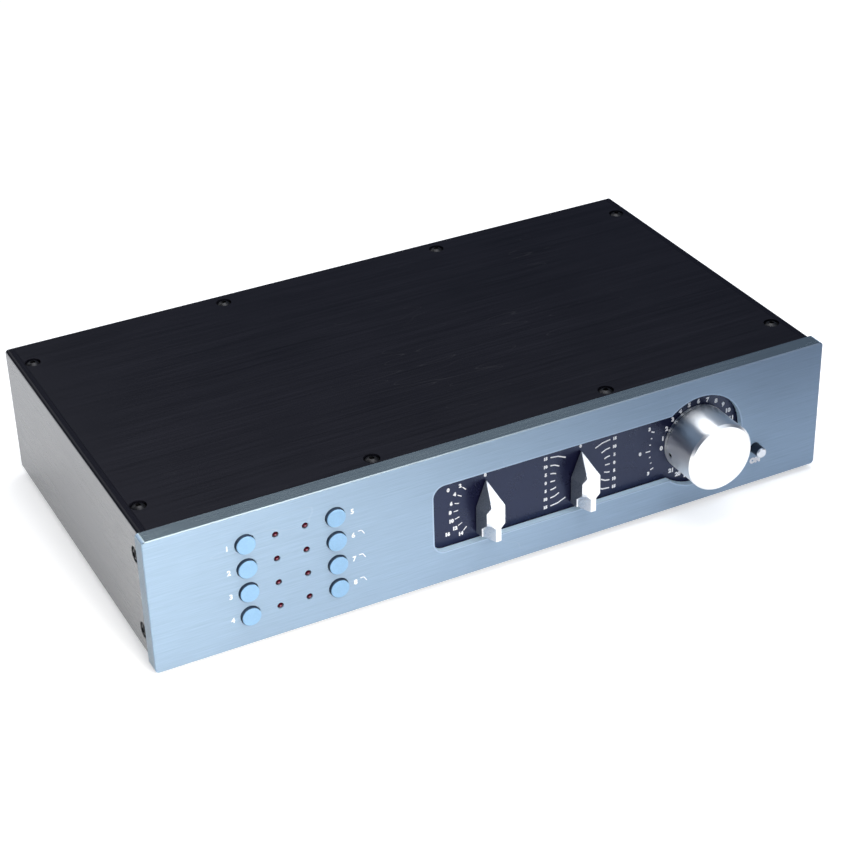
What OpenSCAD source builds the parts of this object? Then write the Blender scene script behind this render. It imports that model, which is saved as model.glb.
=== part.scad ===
// Stereo preamplifier: a thick front panel with a recessed scale window, push buttons with lamps, two
// pointer knobs and a large volume knob, on a screwed case that holds the boards and the transformer.
// Sizes are in millimetres: +X to the right, +Y to the rear, +Z up, and the feet stand on z = 0.
// Modules are drawn from the middle of the panel's lower front edge, and at_home() puts them in place.

/* [Case] */
// Width of the front panel
panel_w = 360; // [345:1:420]
// Height of the front panel
panel_h = 70.8; // [66:0.2:90]
// Thickness of the front panel
panel_t = 8.5; // [7:0.5:12]
// Corner radius of the front panel's outline
panel_r = 2; // [1:0.1:5]
// Chamfer along the front panel's front edges
panel_chamfer = 0.4; // [0.2:0.1:0.9]
// Overhang of the front panel past the case on each side
panel_over = 1.7; // [0.5:0.1:4]
// Step from the panel's top edge down to the case's top
top_step = 0.5; // [0:0.1:2]
// Step from the panel's lower edge up to the case's underside
base_step = 2.2; // [0.5:0.1:4]
// Depth of the case behind the front panel
case_d = 189; // [180:1:260]
// Thickness of the side panels
side_t = 4.2; // [3:0.1:6]
// Radius along the side panels' outer top edges
side_round = 1.8; // [0.5:0.1:2.5]
// Thickness of the top plate
top_t = 3; // [2.6:0.1:4]
// Thickness of the bottom plate
bottom_t = 2.5; // [1.5:0.1:4]
// Thickness of the rear panel
rear_t = 3; // [2:0.1:4]
// Width of the corner blocks inside the side panels
block_w = 8; // [7:0.5:12]
// Length of the corner blocks from front to rear
block_d = 27.5; // [26:0.5:34]
// Side of the small blocks that hold the plates to the front and rear panels
small_block = 10; // [8:0.5:11]
// Distance of the small blocks from the panel's ends
small_block_x = 117.5; // [114:0.5:122]
// Height of the panel's lower edge above the floor
floor_gap = 3; // [2:0.5:8]
// Diameter of a foot
foot_d = 18; // [12:1:24]
// Distance of the feet from the case's corners
foot_inset = 26; // [18:1:40]

/* [Scale window] */
// Room in the window left of the left pointer knob's axis
window_room = 29.5; // [26:0.5:34]
// Height of the window's straight part
window_h = 36.8; // [34:0.2:44]
// Radius of the window's left corners
window_r = 6; // [2:0.5:12]
// Depth of the scale plate behind the panel's face
lip_t = 4; // [3:0.25:5]
// Overlap of the scale plate behind the lip
plate_margin = 3.5; // [2.5:0.25:4]
// Depth of the shadow groove between the lip and the scale plate
groove_d = 0.6; // [0.2:0.1:1.5]
// Width of the shadow groove
groove_w = 1.5; // [0.5:0.1:2]
// Diameter of the round opening at the volume knob
dial_d = 49.6; // [46:0.2:52]
// Distance of the volume axis from the panel's right edge
dial_edge = 71.5; // [70:0.5:76]

/* [Buttons and lamps] */
// Diameter of a push button
button_d = 9.2; // [7:0.1:11]
// Gap round a push button in its hole
button_gap = 0.4; // [0.2:0.05:0.6]
// How far a push button stands out of the panel
button_proud = 2; // [1.2:0.1:4]
// Travel of a push button
button_travel = 1.2; // [0.5:0.1:1.5]
// Distance of the first column of buttons from the panel's left edge
button_edge = 47.3; // [40:0.1:52]
// Distance between the two columns of buttons
button_columns = 44.2; // [42:0.1:48]
// Distance of a lamp from its button, towards the other column
lamp_off = 14.8; // [13:0.1:18]
// Distance between rows
row_pitch = 13; // [12.5:0.1:14]
// Diameter of a lamp
lamp_d = 3; // [2:0.1:4]
// Diameter of the power button
power_d = 5.5; // [4:0.1:6]
// How far the power button stands out of the panel
power_proud = 6.5; // [4:0.1:9]
// Travel of the power button
power_travel = 3; // [1:0.1:3.5]
// Distance of the power button to the right of the volume axis
power_off = 33.8; // [33.5:0.1:40]
// Drop of the power button below the middle line
power_drop = 14.6; // [0:0.1:20]

/* [Knobs] */
// Diameter of the volume knob
volume_d = 36; // [30:0.5:38]
// How far the volume knob stands out of the panel
volume_proud = 19; // [14:0.5:28]
// Thickness of the balance ring
ring_t = 1.5; // [1:0.1:1.8]
// How far the balance ring stays inside the volume knob's outline
ring_inset = 0; // [0:0.1:2]
// Direction of the balance ring's finger peg, in degrees from the right
peg_turn = -38; // [-60:1:-30]
// Diameter of the balance ring's finger peg
peg_d = 3.2; // [2:0.1:3.4]
// Length of the balance ring's finger peg
peg_len = 8; // [4:0.5:12]
// Distance of the right pointer knob's axis to the left of the volume axis
pointer_off = 65.7; // [60:0.1:70]
// Distance between the two pointer knobs' axes
pointer_pitch = 51.9; // [46:0.1:56]
// Length of a pointer knob from its axis to its tip
pointer_tip = 12; // [10:0.5:15]
// Length of a pointer knob from its axis to its tail
pointer_tail = 15.5; // [13:0.5:16]
// Distance of a pointer knob's shoulders below its axis
pointer_shoulder = 1.2; // [0:0.1:2]
// Width of a pointer knob at its base
pointer_w = 11.2; // [10:0.2:13]
// Height of a pointer knob
pointer_h = 11.9; // [10:0.1:14]
// Width of a pointer knob's flat top
pointer_flat = 6.9; // [5:0.1:7.4]
// Width of the ridge between the finger grips
pointer_ridge = 2.8; // [2:0.1:4]
// Height of the ledge at the foot of a finger grip
grip_floor = 4.7; // [4:0.1:7]
// Width of that ledge
grip_ledge = 0.6; // [0.4:0.1:2]
// Gap between a pointer knob and the scale plate
pointer_gap = 0.8; // [0.4:0.1:1.5]
// Diameter of the control shafts
shaft_d = 6; // [5:0.1:6.4]

/* [Inside] */
// Space between the front panel and the inner panel
sub_gap = 11.5; // [11.5:0.5:16]
// Thickness of the inner panel
sub_t = 1.5; // [1:0.1:3]
// Thickness of the circuit boards
board_t = 1.6; // [1:0.1:2.4]
// Height of the main board above the bottom plate
pillar_h = 6; // [4:0.5:10]
// Width of the main board
board_w = 190; // [150:1:200]
// Depth of the main board
board_d = 104; // [90:1:106]
// Outer diameter of the transformer
toroid_d = 76; // [60:1:80]
// Height of the transformer
toroid_h = 34; // [25:1:40]
// Diameter of the volume and balance control's body
pot_d = 24; // [20:1:28]
// Depth of the volume and balance control's body
pot_d_y = 34; // [24:1:36]
// Diameter of a rotary switch's decks
deck_d = 30; // [26:1:34]

/* [Rear] */
// Distance between socket columns
socket_pitch = 20; // [16:0.5:21]
// Distance between the two socket rows
socket_rows = 22; // [18:0.5:28]
// Outer diameter of a socket's barrel
socket_d = 8.3; // [8:0.1:8.6]
// How far the sockets stand out of the rear panel
socket_proud = 10.5; // [8:0.5:14]
// Width of the mains inlet's flange
inlet_w = 50; // [48:0.5:54]
// Height of the mains inlet's flange
inlet_h = 23; // [22:0.5:28]
// Width of the mains inlet's mouth
mouth_w = 24.4; // [24:0.1:25]
// Height of the mains inlet's mouth
mouth_h = 16.4; // [16:0.1:17]
// Depth of the mains inlet's mouth
mouth_d = 16; // [14:0.5:18]

/* [Screws] */
// Diameter of the case screws' heads
head_d = 7.2; // [6:0.1:8]
// Height of the case screws' heads
head_h = 2.2; // [1.5:0.1:3]
// Depth of the recess round a case screw's head
head_sink = 1.7; // [0.4:0.1:1.8]
// Thread diameter of the case screws
screw_d = 4; // [3:0.5:4.5]
// Width across the flats of a case screw's socket
socket_af = 2.5; // [2:0.1:3]

/* [Hidden] */
$fn = 64;
// Clearance of pieces that are fixed together
fit = 0.05;
// Clearance of pieces that turn or slide in one another
slip = 0.1;
// Gap between plates that meet edge to edge
seam = 0.1;
// Running gap between the balance ring and its neighbours
ring_gap = 0.3;
// Overshoot of cuts
cut = 1;

mid_z = panel_h / 2;
dial_x = panel_w / 2 - dial_edge;
power_x = dial_x + power_off;
pointer_right_x = dial_x - pointer_off;
pointer_left_x = pointer_right_x - pointer_pitch;
window_left = pointer_left_x - window_room;
button_left_x = button_edge - panel_w / 2;
button_right_x = button_left_x + button_columns;
lamp_left_x = button_left_x + lamp_off;
lamp_right_x = button_right_x - lamp_off;
case_w = panel_w - 2 * panel_over;
in_x = case_w / 2 - side_t;
case_z0 = base_step;
case_z1 = panel_h - top_step;
in_z0 = case_z0 + bottom_t;
in_z1 = case_z1 - top_t;
rear_y = panel_t + case_d;
in_y1 = rear_y - rear_t;
sub_y = panel_t + sub_gap;
sub_back = sub_y + sub_t;
dial_r = dial_d / 2;
shaft_r = shaft_d / 2;
screw_r = screw_d / 2;
thread_r = screw_r + fit;
hole_r = screw_r + 0.2;
recess_r = head_d / 2 + 0.4;

// Rear pieces that stand out
terminal_proud = 12;
fuse_proud = 9;
rear_reach = max(socket_proud, terminal_proud, fuse_proud);
overall_d = volume_proud + rear_y + rear_reach;
face_y = volume_proud - overall_d / 2;
lift = floor_gap;

// Rows of buttons and lamps, from the top
row_count = 4;
rows = [for (i = [0 : row_count - 1]) mid_z + ((row_count - 1) / 2 - i) * row_pitch];
button_xs = [button_left_x, button_right_x];
lamp_xs = [lamp_left_x, lamp_right_x];
button_r = button_d / 2;
button_hole_r = button_r + button_gap;
collar_gap = 0.4;
collar_t = 1;
button_collar_r = button_hole_r + 0.8;
lamp_hole_r = lamp_d / 2 + slip;
power_z = mid_z - power_drop;
power_r = power_d / 2;
power_hole_r = power_r + 0.25;

// Control board in front of the inner panel
spacer_h = 2;
board_y1 = sub_y - spacer_h;
board_y0 = board_y1 - board_t;
key_h = 3.5;
key_w = 6.5;
key_y = board_y0 - key_h;
stem_r = 1.7;
stem_in = 0.5;
stem_rest = 0.5;
power_in = 1;
control_rim = 12;
control_x0 = button_left_x - control_rim;
control_x1 = button_right_x + control_rim;
control_z0 = rows[row_count - 1] - control_rim / 2 - 1;
control_z1 = rows[0] + control_rim / 2 + 1;

// Pointer knobs
pointer_xs = [pointer_left_x, pointer_right_x];
pointer_y = lip_t - pointer_gap;
tip_w = 0.7;
flat_from = 0.31 * pointer_tip;
draft = 0.5;
bevel_h = 2.2;
grip_from = -0.4 * pointer_tail;
grip_tilt = 32;
grip_turn = -44;
pointer_bore_d = 8;

// Volume and balance
ring_back = lip_t - ring_gap;
ring_front = ring_back - ring_t;
ring_r = volume_d / 2 - ring_inset;
volume_back = ring_front - ring_gap;
volume_chamfer = 1.2;
volume_foot = 0.2;
volume_bore = 12;
set_screw_r = 1.25;
set_screw_y = volume_back - 3.2;
set_screw_turn = 188;
tube_wall = 0.8;
tube_r0 = shaft_r + slip;
tube_r1 = tube_r0 + tube_wall;
tube_end = sub_back + 6;
peg_at = (volume_d / 2 + dial_r) / 2;
bushing_len = 6;
bushing_wall = 0.9;
pot_bushing_r = tube_r1 + slip + bushing_wall;
switch_bushing_r = shaft_r + slip + bushing_wall;
nut_t = 2.2;
nut_rim = 2;
shaft_end = sub_back + 10;
housing_r = 11;
housing_d = 12;
deck_t = 1.6;
decks = [18, 26];
rod_x = 9;
rod_r = 1.5;

// Main board
board_room_x = 12;
board_room_y = 16;
board_x0 = -in_x + block_w + board_room_x;
board_x1 = board_x0 + board_w;
main_y1 = in_y1 - board_room_y;
main_y0 = main_y1 - board_d;
board_z0 = in_z0 + pillar_h;
board_z1 = board_z0 + board_t;
pillar_r = 3;
pillar_in = 6;

// Parts on the main board: amplifier stages in a row and two smoothing capacitors
stage_count = 5;
stage_in = 20;
stage_x0 = board_x0 + stage_in;
stage_pitch = 22;
film_w = 13;
film_t = 5.5;
film_h = 10;
film_in = 26;
film_pitch = 34;
chip_w = 10;
chip_d = 6.4;
chip_h = 3.6;
chip_in = 44;
notch_r = 0.8;
notch_d = 0.8;
can_r = 9;
can_h = 28;
can_in = 18;
can_pitch = 24;
can_edge = 0.6;

// Transformer
toroid_room_x = 14;
toroid_room_y = 34;
toroid_x = in_x - block_w - toroid_d / 2 - toroid_room_x;
toroid_y = in_y1 - toroid_d / 2 - toroid_room_y;
toroid_hole = 28;
toroid_round = 8;
pad_t = 1.5;
clamp_t = 1.5;
bolt_r = 3;
bolt_end = 8;
bolt_nut_r = 5.8;
bolt_nut_t = 5;

// Rear panel
socket_count = 6;
socket_room = 20;
socket_x0 = -in_x + block_w + socket_room;
socket_xs = [for (i = [0 : socket_count - 1]) socket_x0 + i * socket_pitch];
socket_zs = [mid_z - socket_rows / 2, mid_z + socket_rows / 2];
socket_r = socket_d / 2;
socket_flange_r = 5.6;
socket_flange_t = 2.5;
socket_shank_r = 3;
socket_shank = 4;
socket_nut_r = 5;
socket_nut_t = 2.5;
socket_tag_r = 1.2;
socket_tag = 7;
socket_bore_r = 1.65;
socket_bore = 8;
inlet_room = 4;
inlet_x = in_x - block_w - inlet_w / 2 - inlet_room;
inlet_wall = 1.6;
inlet_body_w = mouth_w + 2 * inlet_wall;
inlet_body_h = mouth_h + 2 * inlet_wall;
inlet_flange_t = 2.5;
inlet_corner = 4;
pin_w = 2;
pin_h = 4;
pin_x = 7;
pin_z = 2;
fuse_off = 16;
fuse_x = inlet_x - inlet_w / 2 - fuse_off;
fuse_r = 6;
fuse_cap_r = 7.5;
fuse_body = 24;
fuse_nut_t = 4;
fuse_nut_rim = 2.5;
terminal_off = 24;
terminal_x = socket_xs[socket_count - 1] + terminal_off;
terminal_r = 2;
terminal_tail = 8;
terminal_seat_r = 5.5;
terminal_seat_t = 1.5;
terminal_nut_r = 4.5;
terminal_nut_y = 8;
terminal_hex = 7;
terminal_hex_t = 3;

// Screw places
corner_x = in_x - block_w / 2;
corner_front_in = 6;
corner_rear_in = 19;
corner_ys = [panel_t + block_d - corner_front_in, rear_y - corner_rear_in];
block_y0s = [panel_t, in_y1 - block_d];
small_x = panel_w / 2 - small_block_x;
small_ys = [panel_t + small_block / 2 + 0.5, in_y1 - small_block / 2 + 0.5];
small_y0s = [panel_t, in_y1 - small_block];
plate_screws = concat(
    [for (x = [-corner_x, corner_x], y = corner_ys) [x, y]],
    [for (x = [-small_x, small_x], y = small_ys) [x, y]]);
screw_len = 9;
side_screw_in = 8;
side_screw_low = 22;
side_screw_high = 19.2;
side_screw_y = panel_t + side_screw_in;
side_screw_zs = [mid_z - side_screw_low, mid_z + side_screw_high];
side_screw_len = side_t - head_sink + block_w - 2;
rear_screw_off = 20;
rear_screw_zs = [mid_z - rear_screw_off, mid_z + rear_screw_off];
rear_screw_len = rear_t + 6;
ear = 40;
ear_r = 1.7;
ear_screw_r = 1.5;
foot_x = case_w / 2 - foot_inset;
foot_ys = [panel_t + foot_inset, rear_y - foot_inset];
foot_h = floor_gap + base_step;

silver = [0.72, 0.78, 0.86];
black = [0.11, 0.11, 0.13];
steel = [0.62, 0.63, 0.65];

button_names = [for (i = [0 : 2 * row_count - 1]) str("button_", i + 1)];
foot_names = ["foot_front_left", "foot_front_right", "foot_rear_left", "foot_rear_right"];

module at_home() {
    translate([0, face_y, lift])
        children();
}

// Round bar along Y
module bar_y(x, z, y0, y1, r) {
    translate([x, y0, z])
        rotate([-90, 0, 0])
            cylinder(h = y1 - y0, r = r);
}

// Hexagonal bar along Y, with af across its flats
module hex_y(x, z, y0, y1, af) {
    translate([x, y0, z])
        rotate([-90, 0, 0])
            cylinder(h = y1 - y0, r = af / 2 / cos(30), $fn = 6);
}

// Box between two corners
module box(x0, y0, z0, x1, y1, z1) {
    translate([x0, y0, z0])
        cube([x1 - x0, y1 - y0, z1 - z0]);
}

// Outline in X and Z carried along Y
module along_y(y0, y1) {
    translate([0, y1, 0])
        rotate([90, 0, 0])
            linear_extrude(y1 - y0)
                children();
}

// Outline in Y and Z carried along X
module along_x(x0, x1) {
    translate([x0, 0, 0])
        rotate([90, 0, 90])
            linear_extrude(x1 - x0)
                children();
}

module rounded_rect(x0, z0, x1, z1, r) {
    translate([x0 + r, z0])
        square([x1 - x0 - 2 * r, z1 - z0]);
    translate([x0, z0 + r])
        square([x1 - x0, z1 - z0 - 2 * r]);
    for (x = [x0 + r, x1 - r], z = [z0 + r, z1 - r])
        translate([x, z])
            circle(r);
}

// Case screw with a domed head and a hexagonal socket, head up, seated on z = 0
module case_screw(length) {
    head_r = head_d / 2;
    dome_r = (head_r * head_r + head_h * head_h) / (2 * head_h) + 0.6;
    difference() {
        union() {
            intersection() {
                cylinder(h = head_h, r = head_r);
                translate([0, 0, head_h - dome_r])
                    sphere(dome_r);
            }
            translate([0, 0, -length])
                cylinder(h = length, r = screw_r);
        }
        translate([0, 0, head_h * 0.35])
            cylinder(h = head_h, r = socket_af / 2 / cos(30), $fn = 6);
    }
}

// Case

module window_outline(wider) {
    h = window_h / 2 + wider;
    rounded_rect(window_left - wider, mid_z - h, dial_x, mid_z + h, window_r + wider);
    translate([dial_x, mid_z])
        circle(dial_r + wider);
}

module plate_outline(gap) {
    m = plate_margin - gap;
    rounded_rect(window_left - m, mid_z - dial_r - m, dial_x + dial_r + m, mid_z + dial_r + m, m);
}

// Full slab with a chamfer round its front edge: straight runs and a cone at each corner
module panel_blank() {
    w = panel_w / 2;
    c = panel_chamfer;
    along_x(-w + panel_r, w - panel_r)
        polygon([[0, c], [0, panel_h - c], [c, panel_h], [c, 0]]);
    translate([0, 0, panel_r])
        linear_extrude(panel_h - 2 * panel_r)
            polygon([[-w + c, 0], [w - c, 0], [w, c], [-w, c]]);
    for (x = [-w + panel_r, w - panel_r], z = [panel_r, panel_h - panel_r])
        translate([x, 0, z])
            rotate([-90, 0, 0])
                cylinder(h = c, r1 = panel_r - c, r2 = panel_r);
    along_y(c, panel_t)
        rounded_rect(-w, 0, w, panel_h, panel_r);
}

module front_panel() {
    color(silver)
        at_home()
            difference() {
                panel_blank();
                along_y(-cut, lip_t + cut)
                    window_outline(0);
                along_y(lip_t - groove_d, lip_t + cut)
                    window_outline(groove_w);
                along_y(lip_t, panel_t + cut)
                    plate_outline(0);
                for (z = rows) {
                    for (x = button_xs)
                        bar_y(x, z, -cut, panel_t + cut, button_hole_r);
                    for (x = lamp_xs)
                        bar_y(x, z, -cut, panel_t + cut, lamp_hole_r);
                }
                bar_y(power_x, power_z, -cut, panel_t + cut, power_hole_r);
            }
}

module scale_plate() {
    color([0.2, 0.21, 0.29])
        at_home()
            difference() {
                along_y(lip_t, panel_t)
                    plate_outline(seam);
                for (x = pointer_xs)
                    bar_y(x, mid_z, lip_t - cut, panel_t + cut, shaft_r + 3 * slip);
                bar_y(dial_x, mid_z, lip_t - cut, panel_t + cut, tube_r1 + 3 * slip);
            }
}

module right_side() {
    difference() {
        along_y(panel_t, rear_y)
            difference() {
                translate([in_x, case_z0])
                    square([side_t, case_z1 - case_z0]);
                translate([in_x + side_t - side_round, case_z1 - side_round])
                    difference() {
                        square(side_round + cut);
                        circle(side_round);
                    }
            }
        for (z = side_screw_zs)
            translate([in_x, side_screw_y, z])
                rotate([0, 90, 0]) {
                    translate([0, 0, -cut])
                        cylinder(h = side_t + 2 * cut, r = hole_r);
                    translate([0, 0, side_t - head_sink])
                        cylinder(h = head_sink + cut, r = recess_r);
                }
    }
}

module left_side_panel() {
    color(black)
        at_home()
            mirror([1, 0, 0])
                right_side();
}

module right_side_panel() {
    color(black)
        at_home()
            right_side();
}

module top_plate() {
    color(black)
        at_home()
            difference() {
                box(-in_x + seam, panel_t, in_z1, in_x - seam, rear_y, case_z1);
                for (p = plate_screws)
                    translate([p[0], p[1], 0]) {
                        translate([0, 0, in_z1 - cut])
                            cylinder(h = top_t + 2 * cut, r = hole_r);
                        translate([0, 0, case_z1 - head_sink])
                            cylinder(h = head_sink + cut, r = recess_r);
                    }
            }
}

module bottom_plate() {
    color(black)
        at_home()
            difference() {
                box(-in_x + seam, panel_t, case_z0, in_x - seam, rear_y, in_z0);
                for (p = plate_screws)
                    translate([p[0], p[1], case_z0 - cut])
                        cylinder(h = bottom_t + 2 * cut, r = hole_r);
            }
}

module rear_panel() {
    color(black)
        at_home()
            difference() {
                box(-in_x + seam, in_y1, in_z0, in_x - seam, rear_y, in_z1);
                for (x = socket_xs, z = socket_zs)
                    bar_y(x, z, in_y1 - cut, rear_y + cut, socket_shank_r + fit);
                along_y(in_y1 - cut, rear_y + cut)
                    translate([inlet_x - inlet_body_w / 2 - fit, mid_z - inlet_body_h / 2 - fit])
                        square([inlet_body_w + 2 * fit, inlet_body_h + 2 * fit]);
                bar_y(fuse_x, mid_z, in_y1 - cut, rear_y + cut, fuse_r + fit);
                bar_y(terminal_x, mid_z, in_y1 - cut, rear_y + cut, terminal_r + fit);
                for (side = [-1, 1]) {
                    for (z = rear_screw_zs)
                        bar_y(side * corner_x, z, in_y1 - cut, rear_y + cut, hole_r);
                    bar_y(inlet_x + side * ear / 2, mid_z, in_y1 - cut, rear_y + cut, ear_r);
                }
            }
}

// Tapped hole up into the underside or down into the top of a block
module block_holes(x, y) {
    for (z = [in_z0 - cut, in_z1 - screw_len])
        translate([x, y, z])
            cylinder(h = screw_len + cut, r = thread_r);
}

module corner_blocks() {
    color(steel)
        at_home()
            for (side = [-1, 1], i = [0, 1])
                difference() {
                    box(min(side * in_x, side * (in_x - block_w)), block_y0s[i], in_z0,
                        max(side * in_x, side * (in_x - block_w)), block_y0s[i] + block_d, in_z1);
                    block_holes(side * corner_x, corner_ys[i]);
                    if (i == 0)
                        for (z = side_screw_zs)
                            translate([side * in_x, side_screw_y, z])
                                rotate([0, -90 * side, 0])
                                    translate([0, 0, -cut])
                                        cylinder(h = block_w - 1 + cut, r = thread_r);
                    else
                        for (z = rear_screw_zs)
                            bar_y(side * corner_x, z, rear_y - rear_screw_len - 1, in_y1 + cut, thread_r);
                }
}

module plate_blocks() {
    color(steel)
        at_home()
            for (side = [-1, 1], i = [0, 1], z = [in_z0, in_z1 - small_block])
                difference() {
                    box(side * small_x - small_block / 2, small_y0s[i], z,
                        side * small_x + small_block / 2, small_y0s[i] + small_block, z + small_block);
                    block_holes(side * small_x, small_ys[i]);
                }
}

module inner_panel() {
    color(steel)
        at_home()
            difference() {
                box(-in_x + block_w, sub_y, in_z0, in_x - block_w, sub_back, in_z1);
                for (x = pointer_xs)
                    bar_y(x, mid_z, sub_y - cut, sub_back + cut, switch_bushing_r + fit);
                bar_y(dial_x, mid_z, sub_y - cut, sub_back + cut, pot_bushing_r + fit);
                bar_y(power_x, power_z, sub_y - cut, sub_back + cut, stem_r + 5 * slip);
            }
}

module top_screws() {
    color(black)
        at_home()
            for (p = plate_screws)
                translate([p[0], p[1], case_z1 - head_sink])
                    case_screw(screw_len);
}

module bottom_screws() {
    color(black)
        at_home()
            for (p = plate_screws)
                translate([p[0], p[1], case_z0])
                    rotate([180, 0, 0])
                        case_screw(screw_len);
}

module side_screws() {
    color(black)
        at_home()
            for (side = [-1, 1], z = side_screw_zs)
                translate([side * (case_w / 2 - head_sink), side_screw_y, z])
                    rotate([0, 90 * side, 0])
                        case_screw(side_screw_len);
}

module rear_screws() {
    color(black)
        at_home()
            for (side = [-1, 1], z = rear_screw_zs)
                translate([side * corner_x, rear_y, z])
                    rotate([-90, 0, 0])
                        case_screw(rear_screw_len);
}

module foot(i) {
    x = (i % 2 == 0 ? -1 : 1) * foot_x;
    y = foot_ys[floor(i / 2)];
    r = foot_d / 2;
    edge = 1;
    color([0.07, 0.07, 0.07])
        at_home()
            translate([x, y, case_z0 - foot_h])
                rotate_extrude()
                    polygon([[0, 0], [r - edge - 1, 0], [r - 1, edge], [r, foot_h], [0, foot_h]]);
}

// Knobs and their shafts

module volume_knob() {
    r = volume_d / 2;
    length = volume_back + volume_proud;
    color([0.85, 0.86, 0.88])
        at_home()
            difference() {
                translate([dial_x, volume_back, mid_z])
                    rotate([90, 0, 0])
                        rotate_extrude()
                            polygon([[0, 0], [r - volume_foot, 0], [r, volume_foot],
                                     [r, length - volume_chamfer], [r - volume_chamfer, length],
                                     [0, length]]);
                bar_y(dial_x, mid_z, volume_back - volume_bore, volume_back + cut, shaft_r + fit);
                translate([dial_x, set_screw_y, mid_z])
                    rotate([0, -set_screw_turn, 0])
                        rotate([0, 90, 0])
                            translate([0, 0, shaft_r - cut])
                                cylinder(h = r, r = set_screw_r + fit);
            }
}

module volume_set_screw() {
    long = 8;
    color(black)
        at_home()
            translate([dial_x, set_screw_y, mid_z])
                rotate([0, -set_screw_turn, 0])
                    rotate([0, 90, 0])
                        translate([0, 0, shaft_r + fit])
                            difference() {
                                cylinder(h = long, r = set_screw_r);
                                translate([0, 0, long - 2])
                                    cylinder(h = 2 + cut, r = 0.6 * set_screw_r, $fn = 6);
                            }
}

module volume_shaft() {
    color(steel)
        at_home()
            bar_y(dial_x, mid_z, volume_back - volume_bore + 0.5, shaft_end + 4, shaft_r);
}

// Thin ring behind the volume knob with a finger peg in the round opening
module balance_ring() {
    color([0.85, 0.86, 0.88])
        at_home()
            translate([dial_x, ring_back, mid_z])
                rotate([90, 0, 0])
                    difference() {
                        union() {
                            cylinder(h = ring_t, r = ring_r);
                            rotate(peg_turn) {
                                translate([0, -peg_d / 2, 0])
                                    cube([peg_at, peg_d, ring_t]);
                                translate([peg_at, 0, 0])
                                    cylinder(h = peg_len, r = peg_d / 2);
                            }
                        }
                        translate([0, 0, -cut])
                            cylinder(h = ring_t + 2 * cut, r = tube_r1 + fit);
                    }
}

module balance_tube() {
    color(steel)
        at_home()
            difference() {
                bar_y(dial_x, mid_z, ring_front, tube_end, tube_r1);
                bar_y(dial_x, mid_z, ring_front - cut, tube_end + cut, tube_r0);
            }
}

// Cut for the grip right of the ridge: a sloping wall over a ledge, ended towards the tip by a slanted plane
module finger_grip() {
    w = pointer_w / 2;
    far = 2 * pointer_tail;
    intersection() {
        rotate([90, 0, 0])
            linear_extrude(pointer_tail + cut)
                polygon([[w + cut, grip_floor], [w - draft - grip_ledge, grip_floor],
                         [pointer_ridge / 2, pointer_h], [pointer_ridge / 2, pointer_h + cut],
                         [w + cut, pointer_h + cut]]);
        translate([pointer_flat / 2, grip_from, pointer_h])
            rotate([0, -grip_tilt, grip_turn])
                translate([0, -far, -far])
                    cube(2 * far);
    }
}

// Faceted bar knob, drawn with its tip along +Y and its top along +Z
module pointer_shape() {
    w = pointer_w / 2;
    top = pointer_flat / 2;
    side_h = pointer_h - bevel_h;
    difference() {
        intersection() {
            linear_extrude(pointer_h)
                polygon([[-tip_w / 2, pointer_tip], [tip_w / 2, pointer_tip], [w, -pointer_shoulder],
                         [w, -pointer_tail], [-w, -pointer_tail], [-w, -pointer_shoulder]]);
            translate([0, pointer_tip, 0])
                rotate([90, 0, 0])
                    linear_extrude(pointer_tip + pointer_tail)
                        polygon([[-w, 0], [w, 0], [w - draft, side_h], [top, pointer_h],
                                 [-top, pointer_h], [-w + draft, side_h]]);
        }
        along_x(-pointer_w, pointer_w)
            polygon([[pointer_tip, 0.4], [flat_from, pointer_h], [flat_from, pointer_h + cut],
                     [pointer_tip + cut, pointer_h + cut], [pointer_tip + cut, 0.4]]);
        for (side = [0, 1])
            mirror([side, 0, 0])
                finger_grip();
        translate([0, 0, -cut])
            cylinder(h = pointer_bore_d + cut, r = shaft_r + fit);
    }
}

module pointer_knob(i) {
    color([0.86, 0.87, 0.9])
        at_home()
            translate([pointer_xs[i], pointer_y, mid_z])
                rotate([90, 0, 0])
                    pointer_shape();
}

module switch_shaft(i) {
    color(steel)
        at_home()
            bar_y(pointer_xs[i], mid_z, pointer_y - pointer_bore_d + 0.4, shaft_end, shaft_r);
}

// Volume control and balance control in one body, with a threaded bushing
module volume_control() {
    tag = 6;
    color([0.55, 0.56, 0.58])
        at_home()
            difference() {
                union() {
                    bar_y(dial_x, mid_z, sub_y - bushing_len, sub_back, pot_bushing_r);
                    bar_y(dial_x, mid_z, sub_back, sub_back + pot_d_y, pot_d / 2);
                    for (y = [0.2, 0.45, 0.7, 0.95] * pot_d_y, x = [-5, 0, 5])
                        box(dial_x + x - 1, sub_back + y - 1, mid_z - pot_d / 2 - tag,
                            dial_x + x + 1, sub_back + y, mid_z - pot_d / 2 + 4);
                }
                bar_y(dial_x, mid_z, sub_y - bushing_len - cut, tube_end + 1, tube_r1 + slip);
                bar_y(dial_x, mid_z, tube_end, shaft_end + 6, shaft_r + slip);
            }
}

module hex_nut(x, bore_r) {
    difference() {
        hex_y(x, mid_z, sub_y - nut_t, sub_y, 2 * (bore_r + nut_rim));
        bar_y(x, mid_z, sub_y - nut_t - cut, sub_y + cut, bore_r + fit);
    }
}

module volume_control_nut() {
    color([0.8, 0.78, 0.7])
        at_home()
            hex_nut(dial_x, pot_bushing_r);
}

module rotary_switch_nuts() {
    color([0.8, 0.78, 0.7])
        at_home()
            for (x = pointer_xs)
                hex_nut(x, switch_bushing_r);
}

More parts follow.
